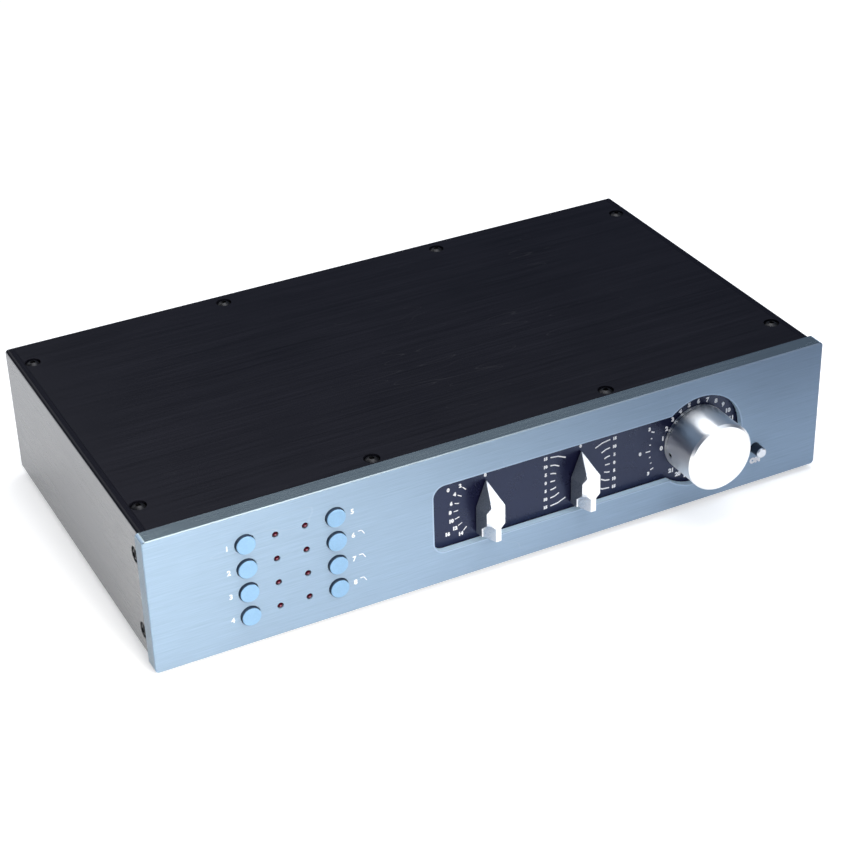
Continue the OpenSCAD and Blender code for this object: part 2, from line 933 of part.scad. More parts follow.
// Rotary switch: threaded bushing, click housing and two decks on two pillars
module rotary_switch(i) {
    x = pointer_xs[i];
    color([0.35, 0.32, 0.25])
        at_home()
            difference() {
                union() {
                    bar_y(x, mid_z, sub_y - bushing_len, sub_back, switch_bushing_r);
                    bar_y(x, mid_z, sub_back, sub_back + housing_d, housing_r);
                    for (d = decks)
                        bar_y(x, mid_z, sub_back + d, sub_back + d + deck_t, deck_d / 2);
                    for (side = [-1, 1])
                        bar_y(x + side * rod_x, mid_z, sub_back + housing_d - cut,
                              sub_back + decks[1] + deck_t + 2, rod_r);
                }
                bar_y(x, mid_z, sub_y - bushing_len - cut, shaft_end + 1, shaft_r + slip);
            }
}

// Buttons, switches and lamps

module push_button(i) {
    x = button_xs[floor(i / row_count)];
    z = rows[i % row_count];
    bevel = 0.3;
    collar_y = panel_t + collar_gap;
    color([0.75, 0.84, 0.93])
        at_home() {
            translate([x, -button_proud, z])
                rotate([-90, 0, 0])
                    cylinder(h = bevel, r1 = button_r - bevel, r2 = button_r);
            bar_y(x, z, -button_proud + bevel, collar_y, button_r);
            bar_y(x, z, collar_y, collar_y + collar_t, button_collar_r);
            bar_y(x, z, collar_y + collar_t, key_y + stem_in, stem_r);
        }
}

module push_switches() {
    color([0.15, 0.15, 0.16])
        at_home()
            for (x = button_xs, z = rows)
                difference() {
                    box(x - key_w / 2, key_y, z - key_w / 2, x + key_w / 2, board_y0, z + key_w / 2);
                    bar_y(x, z, key_y - cut, key_y + stem_in + button_travel + stem_rest, stem_r + slip);
                }
}

// Lamp with a domed lens and two legs that reach the control board
module lamps() {
    lens_len = 4.5;
    lens_r = lamp_d / 2;
    leg_r = 0.3;
    leg_x = 0.8;
    color([0.3, 0.03, 0.05])
        at_home()
            for (x = lamp_xs, z = rows) {
                intersection() {
                    bar_y(x, z, -0.3, lens_len, lens_r);
                    translate([x, lens_r * 1.2 - 0.3, z])
                        sphere(lens_r * 1.2);
                }
                bar_y(x, z, lens_r * 0.8, lens_len, lens_r);
                for (side = [-1, 1])
                    bar_y(x + side * leg_x, z, lens_len - 0.5, board_y0, leg_r);
            }
}

module control_board() {
    color([0.13, 0.33, 0.2])
        at_home()
            box(control_x0, board_y0, control_z0, control_x1, board_y1, control_z1);
}

module board_spacers() {
    spacer_r = 2.5;
    color([0.75, 0.65, 0.35])
        at_home()
            for (x = [control_x0 + 4, control_x1 - 4], z = [control_z0 + 4, control_z1 - 4])
                bar_y(x, z, board_y1, sub_y, spacer_r);
}

module power_button() {
    bevel = 0.5;
    collar_y = panel_t + collar_gap;
    color([0.78, 0.8, 0.84])
        at_home() {
            translate([power_x, -power_proud, power_z])
                rotate([-90, 0, 0])
                    cylinder(h = bevel, r1 = power_r - bevel, r2 = power_r);
            bar_y(power_x, power_z, -power_proud + bevel, collar_y, power_r);
            bar_y(power_x, power_z, collar_y, collar_y + collar_t, power_hole_r + 0.8);
            bar_y(power_x, power_z, collar_y + collar_t, sub_back + power_in, stem_r);
        }
}

module power_switch() {
    half = 6;
    long = 24;
    blade = 6;
    color([0.16, 0.16, 0.17])
        at_home()
            difference() {
                union() {
                    box(power_x - half, sub_back, power_z - half, power_x + half, sub_back + long,
                        power_z + half);
                    for (x = [-3, 3], z = [-3, 3])
                        box(power_x + x - 0.4, sub_back + long - cut, power_z + z - 1.2,
                            power_x + x + 0.4, sub_back + long + blade, power_z + z + 1.2);
                }
                bar_y(power_x, power_z, sub_back - cut,
                      sub_back + power_in + power_travel + stem_rest, stem_r + slip);
            }
}

// Boards and the power supply

module main_board() {
    color([0.13, 0.33, 0.2])
        at_home()
            box(board_x0, main_y0, board_z0, board_x1, main_y1, board_z1);
}

module board_pillars() {
    color([0.75, 0.65, 0.35])
        at_home()
            for (x = [board_x0 + pillar_in, board_x1 - pillar_in],
                 y = [main_y0 + pillar_in, main_y1 - pillar_in])
                translate([x, y, in_z0])
                    cylinder(h = pillar_h, r = pillar_r);
}

module smoothing_capacitors() {
    e = can_edge;
    color([0.12, 0.15, 0.3])
        at_home()
            for (i = [0, 1])
                translate([board_x1 - can_in, main_y1 - can_in - i * can_pitch, board_z1])
                    rotate_extrude()
                        polygon([[0, 0], [can_r - e, 0], [can_r, e], [can_r, 5 * e], [can_r - e, 7 * e],
                                 [can_r, 9 * e], [can_r, can_h - e], [can_r - e, can_h], [0, can_h]]);
}

module film_capacitors() {
    color([0.7, 0.16, 0.12])
        at_home()
            for (i = [0 : stage_count - 1], j = [0, 1])
                translate([stage_x0 + i * stage_pitch, main_y1 - film_in - j * film_pitch, board_z1])
                    cube([film_w, film_t, film_h]);
}

module amplifier_chips() {
    color([0.1, 0.1, 0.1])
        at_home()
            for (i = [0 : stage_count - 1])
                translate([stage_x0 + i * stage_pitch, main_y1 - chip_in, board_z1])
                    difference() {
                        cube([chip_w, chip_d, chip_h]);
                        translate([0, chip_d / 2, chip_h - notch_d])
                            cylinder(h = notch_d + cut, r = notch_r);
                    }
}

// Ring core with its winding
module transformer() {
    z0 = in_z0 + pad_t;
    r0 = toroid_hole / 2;
    r1 = toroid_d / 2;
    color([0.75, 0.7, 0.45])
        at_home()
            translate([toroid_x, toroid_y, z0])
                rotate_extrude()
                    translate([r0, 0])
                        rounded_rect(0, 0, r1 - r0, toroid_h, toroid_round / 2);
}

module transformer_pad() {
    color([0.08, 0.08, 0.08])
        at_home()
            translate([toroid_x, toroid_y, in_z0])
                difference() {
                    cylinder(h = pad_t, r = toroid_d / 2);
                    translate([0, 0, -cut])
                        cylinder(h = pad_t + 2 * cut, r = bolt_r + fit);
                }
}

// Washer over the winding, with its bolt and nut
module transformer_clamp() {
    z1 = in_z0 + pad_t + toroid_h;
    color(steel)
        at_home()
            translate([toroid_x, toroid_y, 0]) {
                translate([0, 0, in_z0])
                    cylinder(h = z1 + clamp_t + bolt_end - in_z0, r = bolt_r);
                translate([0, 0, z1])
                    cylinder(h = clamp_t, r = toroid_d / 2 - toroid_round);
                translate([0, 0, z1 + clamp_t])
                    cylinder(h = bolt_nut_t, r = bolt_nut_r, $fn = 6);
            }
}

// Rear connections

module line_sockets() {
    color([0.83, 0.68, 0.3])
        at_home()
            for (x = socket_xs, z = socket_zs)
                difference() {
                    union() {
                        bar_y(x, z, rear_y, rear_y + socket_flange_t, socket_flange_r);
                        bar_y(x, z, rear_y, rear_y + socket_proud, socket_r);
                        bar_y(x, z, in_y1 - socket_shank, rear_y, socket_shank_r);
                        hex_y(x, z, in_y1 - socket_nut_t, in_y1, 2 * socket_nut_r);
                        bar_y(x, z, in_y1 - socket_shank - socket_tag, in_y1 - socket_shank, socket_tag_r);
                    }
                    bar_y(x, z, rear_y + socket_proud - socket_bore, rear_y + socket_proud + cut,
                          socket_bore_r);
                }
}

// Outline of the inlet's mouth: a rectangle with its two lower corners cut off
module mouth_outline() {
    w = mouth_w / 2;
    h = mouth_h / 2;
    polygon([[-w, h], [-w, -h + inlet_corner], [-w + inlet_corner, -h], [w - inlet_corner, -h],
             [w, -h + inlet_corner], [w, h]]);
}

module mains_inlet() {
    color([0.1, 0.1, 0.1])
        at_home()
            translate([inlet_x, 0, mid_z])
                difference() {
                    union() {
                        along_y(rear_y, rear_y + inlet_flange_t)
                            rounded_rect(-inlet_w / 2, -inlet_h / 2, inlet_w / 2, inlet_h / 2, 5);
                        box(-inlet_body_w / 2, rear_y + inlet_flange_t - mouth_d - 3, -inlet_body_h / 2,
                            inlet_body_w / 2, rear_y + cut, inlet_body_h / 2);
                    }
                    along_y(rear_y + inlet_flange_t - mouth_d, rear_y + inlet_flange_t + cut)
                        mouth_outline();
                    for (side = [-1, 1])
                        bar_y(side * ear / 2, 0, rear_y - cut, rear_y + inlet_flange_t + cut, ear_r);
                }
}

// Domed screw and nut in each ear of the inlet's flange
module inlet_screws() {
    dome_r = 4;
    head_r = 2.9;
    head_t = 1.6;
    nut_af = 5.5;
    nut_h = 2.4;
    y1 = rear_y + inlet_flange_t;
    color(black)
        at_home()
            for (side = [-1, 1])
                translate([inlet_x + side * ear / 2, 0, mid_z]) {
                    intersection() {
                        bar_y(0, 0, y1, y1 + head_t, head_r);
                        translate([0, y1 + head_t - dome_r, 0])
                            sphere(dome_r);
                    }
                    bar_y(0, 0, in_y1 - nut_h - 1, y1 + head_t / 4, ear_screw_r);
                    hex_y(0, 0, in_y1 - nut_h, in_y1, nut_af);
                }
}

module inlet_pins() {
    y0 = rear_y + inlet_flange_t - mouth_d;
    color(steel)
        at_home()
            for (p = [[-pin_x, -pin_z], [0, pin_z], [pin_x, -pin_z]])
                box(inlet_x + p[0] - pin_w / 2, y0, mid_z + p[1] - pin_h / 2,
                    inlet_x + p[0] + pin_w / 2, y0 + mouth_d - 3, mid_z + p[1] + pin_h / 2);
}

module fuse_holder() {
    slot_w = 1.6;
    color([0.1, 0.1, 0.1])
        at_home()
            difference() {
                union() {
                    bar_y(fuse_x, mid_z, rear_y, rear_y + fuse_proud, fuse_cap_r);
                    bar_y(fuse_x, mid_z, in_y1 - fuse_body, rear_y, fuse_r);
                    hex_y(fuse_x, mid_z, in_y1 - fuse_nut_t, in_y1, 2 * (fuse_r + fuse_nut_rim));
                }
                box(fuse_x - fuse_cap_r, rear_y + fuse_proud - 2, mid_z - slot_w / 2,
                    fuse_x + fuse_cap_r, rear_y + fuse_proud + cut, mid_z + slot_w / 2);
            }
}

module earth_terminal() {
    color([0.83, 0.68, 0.3])
        at_home() {
            bar_y(terminal_x, mid_z, in_y1 - terminal_tail, rear_y + terminal_proud, terminal_r);
            bar_y(terminal_x, mid_z, rear_y, rear_y + terminal_seat_t, terminal_seat_r);
            bar_y(terminal_x, mid_z, rear_y + terminal_seat_t, rear_y + terminal_nut_y, terminal_nut_r);
            hex_y(terminal_x, mid_z, in_y1 - terminal_hex_t, in_y1, terminal_hex);
        }
}

front_panel();
scale_plate();
left_side_panel();
right_side_panel();
top_plate();
bottom_plate();
rear_panel();
corner_blocks();
plate_blocks();
inner_panel();
top_screws();
bottom_screws();
side_screws();
volume_knob();
volume_set_screw();
volume_shaft();
balance_ring();
balance_tube();
volume_control();
volume_control_nut();
pointer_knob(0);  // left_pointer_knob
pointer_knob(1);  // right_pointer_knob
switch_shaft(0);  // left_switch_shaft
switch_shaft(1);  // right_switch_shaft
rotary_switch(0);  // left_rotary_switch
rotary_switch(1);  // right_rotary_switch
rotary_switch_nuts();
power_button();
power_switch();
push_switches();
lamps();
control_board();
board_spacers();
main_board();
board_pillars();
smoothing_capacitors();
film_capacitors();
amplifier_chips();
transformer();
transformer_pad();
transformer_clamp();
line_sockets();
mains_inlet();
inlet_pins();
inlet_screws();
rear_screws();
fuse_holder();
earth_terminal();
for (i = [0 : len(button_names) - 1])
    push_button(i);
for (i = [0 : len(foot_names) - 1])
    foot(i);
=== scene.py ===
import math

import bpy
import numpy as np
from mathutils import Matrix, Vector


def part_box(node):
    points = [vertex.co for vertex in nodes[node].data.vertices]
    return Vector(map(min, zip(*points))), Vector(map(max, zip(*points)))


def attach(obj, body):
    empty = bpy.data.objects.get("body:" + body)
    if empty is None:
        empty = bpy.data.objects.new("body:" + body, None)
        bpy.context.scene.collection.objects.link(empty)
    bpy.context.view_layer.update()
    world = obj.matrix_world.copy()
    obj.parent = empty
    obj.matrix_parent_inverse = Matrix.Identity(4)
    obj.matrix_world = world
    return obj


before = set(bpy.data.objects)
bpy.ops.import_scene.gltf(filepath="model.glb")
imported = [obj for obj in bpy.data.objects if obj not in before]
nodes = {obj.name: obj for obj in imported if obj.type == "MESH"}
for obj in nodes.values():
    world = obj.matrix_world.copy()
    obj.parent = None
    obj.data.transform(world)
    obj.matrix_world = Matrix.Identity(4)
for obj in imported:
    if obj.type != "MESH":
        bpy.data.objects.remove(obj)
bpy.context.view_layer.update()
mm = 0.001


def cornersOf(nodeName):
    return [np.array(corner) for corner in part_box(nodeName)]


def middleOf(nodeName):
    low, high = cornersOf(nodeName)
    return (low + high) / 2


# the panel's front face and the axes of its controls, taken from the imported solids
panelLow, panelHigh = cornersOf("front_panel")
faceY = panelLow[1]
midZ = (panelLow[2] + panelHigh[2]) / 2
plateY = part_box("scale_plate")[0][1]
dialAxis = middleOf("volume_knob")
leftAxis = middleOf("left_switch_shaft")
rightAxis = middleOf("right_switch_shaft")
buttonNames = ["button_%d" % number for number in range(1, 9)]
print("frame loaded", len(nodes), "nodes")


def startMaterial(name, sockets):
    material = bpy.data.materials.new(name)
    material.use_nodes = True
    tree = material.node_tree
    shader = tree.nodes["Principled BSDF"]
    for socket, value in sockets.items():
        shader.inputs[socket].default_value = value
    return material, tree, shader


# a number or colour is set on the socket, another node's output is linked to it
def feed(tree, socket, value):
    if isinstance(value, bpy.types.NodeSocket):
        tree.links.new(value, socket)
    else:
        socket.default_value = value


def addNode(tree, kind, inputs, **settings):
    node = tree.nodes.new(kind)
    for setting, value in settings.items():
        setattr(node, setting, value)
    for socket, value in inputs.items():
        feed(tree, node.inputs[socket], value)
    return node


def objectVector(tree, scale=(1, 1, 1), move=(0, 0, 0), turn=(0, 0, 0)):
    coords = tree.nodes.new("ShaderNodeTexCoord")
    inputs = {"Vector": coords.outputs["Object"], "Scale": scale, "Location": move, "Rotation": turn}
    return addNode(tree, "ShaderNodeMapping", inputs).outputs["Vector"]


# the point's X, Y and Z, measured from a centre
def objectAxes(tree, centre=(0, 0, 0)):
    vector = objectVector(tree, move=tuple(-place for place in centre))
    return addNode(tree, "ShaderNodeSeparateXYZ", {"Vector": vector}).outputs


def noise(tree, vector, scale, detail):
    inputs = {"Vector": vector, "Scale": scale, "Detail": detail, "Roughness": 0.55}
    return addNode(tree, "ShaderNodeTexNoise", inputs).outputs["Fac"]


def mathNode(tree, operation, first, second=None):
    inputs = {0: first} if second is None else {0: first, 1: second}
    return addNode(tree, "ShaderNodeMath", inputs, operation=operation).outputs["Value"]


def weighted(tree, first, share, second):
    parts = ((first, share), (second, 1 - share))
    return mathNode(tree, "ADD", *(mathNode(tree, "MULTIPLY", value, part) for value, part in parts))


def lengthOf(tree, first, second):
    squares = [mathNode(tree, "MULTIPLY", side, side) for side in (first, second)]
    return mathNode(tree, "SQRT", mathNode(tree, "ADD", *squares))


def ramp(tree, factor, stops):
    node = addNode(tree, "ShaderNodeValToRGB", {"Fac": factor})
    elements = node.color_ramp.elements
    while len(elements) < len(stops):
        elements.new(0.5)
    for element, (place, value) in zip(elements, stops):
        element.position = place
        element.color = (*value, 1) if isinstance(value, tuple) else (value, value, value, 1)
    return node.outputs["Color"]


noiseEnds = (0.3, 0.7)          # nearly all of a noise lies between these


def shade(color, gain):
    return tuple(min(1.0, channel * gain) for channel in color)


# colour that a noise carries from darker to lighter on both sides of its own tone
def tones(tree, factor, color, spread, ends=noiseEnds):
    return ramp(tree, factor, [(ends[0], shade(color, 1 - spread)), (ends[1], shade(color, 1 + spread))])


# colour that a noise only darkens
def worn(tree, factor, color, gain):
    return ramp(tree, factor, [(noiseEnds[0], shade(color, gain)), (noiseEnds[1], color)])


def glossOf(tree, factor, roughness):
    return ramp(tree, factor, list(zip(noiseEnds, roughness)))


def bump(tree, shader, height, strength, distance):
    node = addNode(tree, "ShaderNodeBump", {"Height": height, "Strength": strength, "Distance": distance})
    feed(tree, shader.inputs["Normal"], node.outputs["Normal"])


def mixColor(tree, factor, first, second):
    node = addNode(tree, "ShaderNodeMix", {}, data_type="RGBA")
    sockets = {socket.identifier: socket for socket in node.inputs}
    feed(tree, sockets["Factor_Float"], factor)
    for identifier, value in (("A_Color", first), ("B_Color", second)):
        feed(tree, sockets[identifier], (*value, 1) if isinstance(value, tuple) else value)
    return next(output for output in node.outputs if output.identifier == "Result_Color")


# 1 inside the box between two corners, 0 outside
def within(tree, low, high):
    axes = objectAxes(tree)
    inside = None
    for axis, least, most in zip("XYZ", low, high):
        for operation, limit in (("GREATER_THAN", least), ("LESS_THAN", most)):
            test = mathNode(tree, operation, axes[axis], float(limit))
            inside = test if inside is None else mathNode(tree, "MULTIPLY", inside, test)
    return inside


# 0 up to the first place along X, 1 from the second on
def alongWidth(tree, start, end):
    inputs = {"Value": objectAxes(tree)["X"], "From Min": start, "From Max": end}
    return addNode(tree, "ShaderNodeMapRange", inputs).outputs["Result"]


# 1 on a narrow rim round the window, which carries a painted highlight: the distance outside a rounded
# rectangle is the length of what lies past its inner corners less the corner radius; outside a circle it is
# the distance from the middle less the radius
def rimMask(tree, rim):
    axes = objectAxes(tree)
    past = []
    for axis, middle, half in zip("XZ", rim["middle"], rim["half"]):
        away = mathNode(tree, "ABSOLUTE", mathNode(tree, "SUBTRACT", axes[axis], middle))
        past.append(mathNode(tree, "MAXIMUM", mathNode(tree, "SUBTRACT", away, half - rim["corner"]), 0.0))
    fromFrame = mathNode(tree, "SUBTRACT", lengthOf(tree, *past), rim["corner"])
    offAxis = [mathNode(tree, "SUBTRACT", axes[axis], middle) for axis, middle in zip("XZ", rim["dial"])]
    fromDial = mathNode(tree, "SUBTRACT", lengthOf(tree, *offAxis), rim["radius"])
    near = mathNode(tree, "LESS_THAN", mathNode(tree, "MINIMUM", fromFrame, fromDial), rim["width"])
    return mathNode(tree, "MULTIPLY", near, mathNode(tree, "LESS_THAN", axes["Y"], rim["behind"]))


# scratches are thin level lines of a stretched noise, kept to a few patches
scratchLook = dict(stretch=(22, 160, 160), move=(0.7, 0.2, 0.4), turn=(0, 0, 0.35), level=0.5, half=0.006,
                   patchMove=(2.4, 0.6, 1.1), patchScale=11.0, patchFrom=0.56, patchFull=0.68)


def scratches(tree, strength):
    look = scratchLook
    stretched = objectVector(tree, look["stretch"], look["move"], look["turn"])
    height = noise(tree, stretched, scale=1.0, detail=0.0)
    level, half = look["level"], look["half"]
    line = ramp(tree, height, [(level - half, 0.0), (level, 1.0), (level + half, 0.0)])
    cloud = noise(tree, objectVector(tree, move=look["patchMove"]), look["patchScale"], detail=1.0)
    patch = ramp(tree, cloud, [(look["patchFrom"], 0.0), (look["patchFull"], 1.0)])
    return mathNode(tree, "MULTIPLY", mathNode(tree, "MULTIPLY", line, patch), strength)


# brushed metal: noise drawn out along the grain, fine over coarse, with broad cloudy handling marks
brushing = dict(coarser=0.3, coarseMove=(3.1, 1.7, 5.3), fineShare=0.7, cloudScale=14.0, grainShare=0.75,
                zoneWear=0.86, edgeWear=0.9, depth=0.04 * mm)


def brushedMetal(name, look):
    material, tree, shader = startMaterial(name, {
        "IOR": look.get("ior", 1.5), "Specular IOR Level": look["specular"],
        "Specular Tint": (*look.get("tint", (1, 1, 1)), 1)})
    fine = noise(tree, objectVector(tree, look["grain"]), scale=1.0, detail=2.0)
    coarseGrain = tuple(stretch * brushing["coarser"] for stretch in look["grain"])
    coarse = noise(tree, objectVector(tree, coarseGrain, brushing["coarseMove"]), scale=1.0, detail=3.0)
    cloud = noise(tree, objectVector(tree), brushing["cloudScale"], detail=3.0)
    streak = weighted(tree, fine, brushing["fineShare"], coarse)
    both = weighted(tree, streak, brushing["grainShare"], cloud)
    tint = tones(tree, both, look["color"], look["spread"])
    tint = mixColor(tree, scratches(tree, look["scratch"]), tint, look["bare"])
    for zone in look.get("zones", []):
        tone = worn(tree, coarse, zone["color"], brushing["zoneWear"])
        tint = mixColor(tree, within(tree, zone["low"], zone["high"]), tint, tone)
    # the rim round the window gets a lighter colour as a painted highlight
    if "rim" in look:
        tint = mixColor(tree, rimMask(tree, look["rim"]), tint, look["rim"]["color"])
    gloss = glossOf(tree, both, look["roughness"])
    metal = None
    for edge in look.get("polished", []):
        polished = within(tree, edge["low"], edge["high"])
        metal = polished if metal is None else mathNode(tree, "MAXIMUM", metal, polished)
        tone = worn(tree, coarse, edge["color"], brushing["edgeWear"])
        # a polished edge's colour can be painted darker along the width as shade
        if "rightShade" in edge:
            tone = mixColor(tree, alongWidth(tree, *edge["between"]), tone, edge["rightShade"])
        tint = mixColor(tree, polished, tint, tone)
        gloss = mixColor(tree, polished, gloss, glossOf(tree, both, edge["roughness"]))
    if metal is not None:
        feed(tree, shader.inputs["Metallic"], metal)
    # a band given a lower specular level as painted shade
    if "shadedTop" in look:
        shadedTop = within(tree, look["shadedTop"]["low"], look["shadedTop"]["high"])
        level = ramp(tree, shadedTop, [(0.0, look["specular"]), (1.0, look["shadedTop"]["specular"])])
        feed(tree, shader.inputs["Specular IOR Level"], level)
    feed(tree, shader.inputs["Base Color"], tint)
    feed(tree, shader.inputs["Roughness"], gloss)
    bump(tree, shader, streak, look["bump"], brushing["depth"])
    return material


# turned metal: fine rings round the knob's axis on its face and round its flank
def turnedMetal(name, look, axis):
    material, tree, shader = startMaterial(name, {"Metallic": 1.0, "Anisotropic Rotation": 0.25})
    onFlank = within(tree, (-1, look["flankFrom"], -1), (1, 1, 1))
    feed(tree, shader.inputs["Anisotropic"], mathNode(tree, "MULTIPLY", onFlank, look["anisotropic"]))
    lathe = addNode(tree, "ShaderNodeTangent", {}, direction_type="RADIAL", axis="Y")
    feed(tree, shader.inputs["Tangent"], lathe.outputs["Tangent"])
    axes = objectAxes(tree, (axis[0], 0, axis[2]))
    radius = lengthOf(tree, axes["X"], axes["Z"])
    along = mathNode(tree, "MULTIPLY", mathNode(tree, "ADD", radius, axes["Y"]), look["rings"])
    inputs = {"W": along, "Scale": 1.0, "Detail": 2.0}
    rings = addNode(tree, "ShaderNodeTexNoise", inputs, noise_dimensions="1D").outputs["Fac"]
    cloud = noise(tree, objectVector(tree), look["cloudScale"], detail=3.0)
    both = weighted(tree, rings, look["ringShare"], cloud)
    tint = tones(tree, both, look["color"], look["spread"])
    # behind the face and inside the radius the colour is painted dark as shade
    shadedInside = mathNode(tree, "MULTIPLY", onFlank, mathNode(tree, "LESS_THAN", radius, look["shadedInside"]))
    feed(tree, shader.inputs["Base Color"], mixColor(tree, shadedInside, tint, look["holeShadeColor"]))
    feed(tree, shader.inputs["Roughness"], glossOf(tree, both, look["roughness"]))
    bump(tree, shader, rings, look["bump"], look["groove"])
    return material


# any moulded, painted or cast finish: two noise scales for colour, gloss and a slight surface texture
mottling = dict(ends=(0.32, 0.68), cloudMove=(1.3, 4.1, 2.2), cloudScale=0.08, fineShare=0.5,
                depth=0.05 * mm)


def mottled(name, look):
    material, tree, shader = startMaterial(name, {
        "Metallic": look.get("metallic", 0.0), "Specular IOR Level": look.get("specular", 0.5),
        "Specular Tint": (*look.get("tint", (1, 1, 1)), 1)})
    fine = noise(tree, objectVector(tree), look["scale"], detail=3.0)
    cloudVector = objectVector(tree, move=mottling["cloudMove"])
    cloud = noise(tree, cloudVector, look["scale"] * mottling["cloudScale"], detail=2.0)
    both = weighted(tree, fine, mottling["fineShare"], cloud)
    tint = tones(tree, both, look["color"], look["spread"], mottling["ends"])
    # behind flankFrom a second colour is mixed in: on the buttons and the power button it is painted shade
    # on their sides, on the lamps it is their own dark red round a painted highlight on the front tip
    if "flank" in look:
        dark = tones(tree, both, look["flank"], look["spread"], mottling["ends"])
        tint = mixColor(tree, within(tree, (-1, look["flankFrom"], -1), (1, 1, 1)), tint, dark)
    feed(tree, shader.inputs["Base Color"], tint)
    feed(tree, shader.inputs["Roughness"], glossOf(tree, both, look["roughness"]))
    bump(tree, shader, fine, look["bump"], mottling["depth"])
    return material


# pointer knob: satin facets on top; the flanks are painted dark and kept unmetallic as painted shade. A
# flank point lies at the outline's half width, which narrows in a straight line from the shoulder to the tip
def pointerMetal(name, look, axis):
    material, tree, shader = startMaterial(name, {})
    axes = objectAxes(tree, axis)
    slope = look["half"] / (look["tip"] + look["shoulder"])
    nose = mathNode(tree, "MULTIPLY", mathNode(tree, "SUBTRACT", look["tip"], axes["Z"]), slope)
    outline = mathNode(tree, "MINIMUM", nose, look["half"] - look["draft"])
    outside = mathNode(tree, "GREATER_THAN", mathNode(tree, "ABSOLUTE", axes["X"]), outline)
    # flanks beyond the outline, painted dark and unmetallic as shade
    flank = mathNode(tree, "MULTIPLY", outside, mathNode(tree, "GREATER_THAN", axes["Y"], look["bevel"]))
    fine = noise(tree, objectVector(tree), look["scale"], detail=3.0)
    bright, dark = (worn(tree, fine, color, look["wear"]) for color in (look["color"], look["flank"]))
    # the grip below the top is painted greyer as shade
    grip = look["grip"]
    gripLow = (-1, axis[1] + grip["near"], -1)
    gripHigh = (1, axis[1] + grip["far"], axis[2] - grip["below"])
    bright = mixColor(tree, within(tree, gripLow, gripHigh), bright, grip["color"])
    feed(tree, shader.inputs["Base Color"], mixColor(tree, flank, bright, dark))
    feed(tree, shader.inputs["Metallic"], mathNode(tree, "SUBTRACT", 1.0, flank))
    feed(tree, shader.inputs["Roughness"], glossOf(tree, fine, look["roughness"]))
    bump(tree, shader, fine, look["bump"], look["depth"])
    return material


# front panel: the window's walls are milled, their colour raised well above the panel's as painted light,
# and they end in a shadow groove whose faces are painted black as shade; both ends are painted pale as a
# painted highlight, the right front chamfer is painted dark as shade, and a narrow rim round the window is
# painted lighter as a painted highlight; the top edge and its chamfer are polished, the chamfer painted
# darker towards the right as shade
wallRoom = dict(left=32 * mm, right=27 * mm, margin=8 * mm)
wallLow = (leftAxis[0] - wallRoom["left"], panelLow[2] + wallRoom["margin"])
wallHigh = (dialAxis[0] + wallRoom["right"], panelHigh[2] - wallRoom["margin"])
# pale colour painted on both end faces as a painted highlight
endDepth, endHighlightColor = 0.3 * mm, (0.80, 0.93, 0.97)
chamferY = faceY + 0.45 * mm
panelZones = [
    # the window's walls: milled, their colour raised well above the panel's as painted light
    dict(low=(wallLow[0], faceY + 0.2 * mm, wallLow[1]), high=(wallHigh[0], plateY, wallHigh[1]),
         color=(0.64, 0.84, 1.0)),
    # the shadow groove's faces by the plate, painted black as painted shade
    dict(low=(wallLow[0], plateY - 0.55 * mm, wallLow[1]),
         high=(wallHigh[0], plateY + 0.1 * mm, wallHigh[1]), color=(0.006, 0.006, 0.009)),
    # both end faces painted pale as a painted highlight
    dict(low=(-1, chamferY, -1), high=(panelLow[0] + endDepth, 1, 1), color=endHighlightColor),
    dict(low=(panelHigh[0] - endDepth, chamferY, -1), high=(1, 1, 1), color=endHighlightColor),
    # the right end's front chamfer painted dark as painted shade
    dict(low=(panelHigh[0] - 0.4 * mm, -1, -1), high=(1, chamferY, 1), color=(0.10, 0.11, 0.19)),
]
panelEdges = [
    dict(low=(-1, faceY + 0.38 * mm, panelHigh[2] - 0.05 * mm), high=(1, 1, 1), color=(0.58, 0.70, 0.72),
         roughness=(0.23, 0.29)),
    # the front chamfer: its colour is painted darker towards the right as shade
    dict(low=(-1, -1, panelHigh[2] - 0.5 * mm), high=(1, faceY + 0.5 * mm, 1), color=(0.34, 0.40, 0.43),
         rightShade=(0.184, 0.226, 0.292), between=(-30 * mm, 130 * mm), roughness=(0.28, 0.36)),
]
windowLeft = leftAxis[0] - 29.5 * mm
# a narrow rim round the window painted lighter than the panel as a painted highlight
windowRimHighlight = dict(middle=((windowLeft + dialAxis[0]) / 2, midZ),
                 half=((dialAxis[0] - windowLeft) / 2, 18.4 * mm), corner=6.0 * mm,
                 dial=(dialAxis[0], midZ), radius=24.8 * mm, width=0.7 * mm, behind=faceY + 0.1 * mm,
                 color=(0.41, 0.535, 0.69))
panelLook = dict(color=(0.313, 0.427, 0.562), spread=0.14, specular=0.3, roughness=(0.42, 0.54),
                 grain=(60.0, 3600.0, 3600.0), bump=0.07, scratch=0.12, bare=(0.7, 0.76, 0.82),
                 zones=panelZones, rim=windowRimHighlight, polished=panelEdges)

# top, bottom and rear: black, brushed along the width, with a few scratches
topLook = dict(color=(0.0062, 0.0062, 0.0100), spread=0.38, specular=0.125, roughness=(0.34, 0.5),
               grain=(22.0, 1100.0, 1100.0), bump=0.3, scratch=0.5, bare=(0.03, 0.03, 0.034))

# side panels: glossy flanks brushed from front to rear; the top edge is painted darker and given little
# reflection as painted shade
sideTopShade = dict(low=(-1, -1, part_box("left_side_panel")[1][2] - 0.9 * mm), high=(1, 1, 1))
sideLook = dict(color=(0.02, 0.02, 0.026), spread=0.3, specular=1.0, ior=1.85, tint=(0.95, 0.965, 1.0),
                roughness=(0.24, 0.33), grain=(3200.0, 12.0, 3200.0), bump=0.05, scratch=0.3,
                bare=(0.06, 0.06, 0.064), zones=[dict(sideTopShade, color=(0.007, 0.007, 0.011))],
                shadedTop=dict(sideTopShade, specular=0.04))

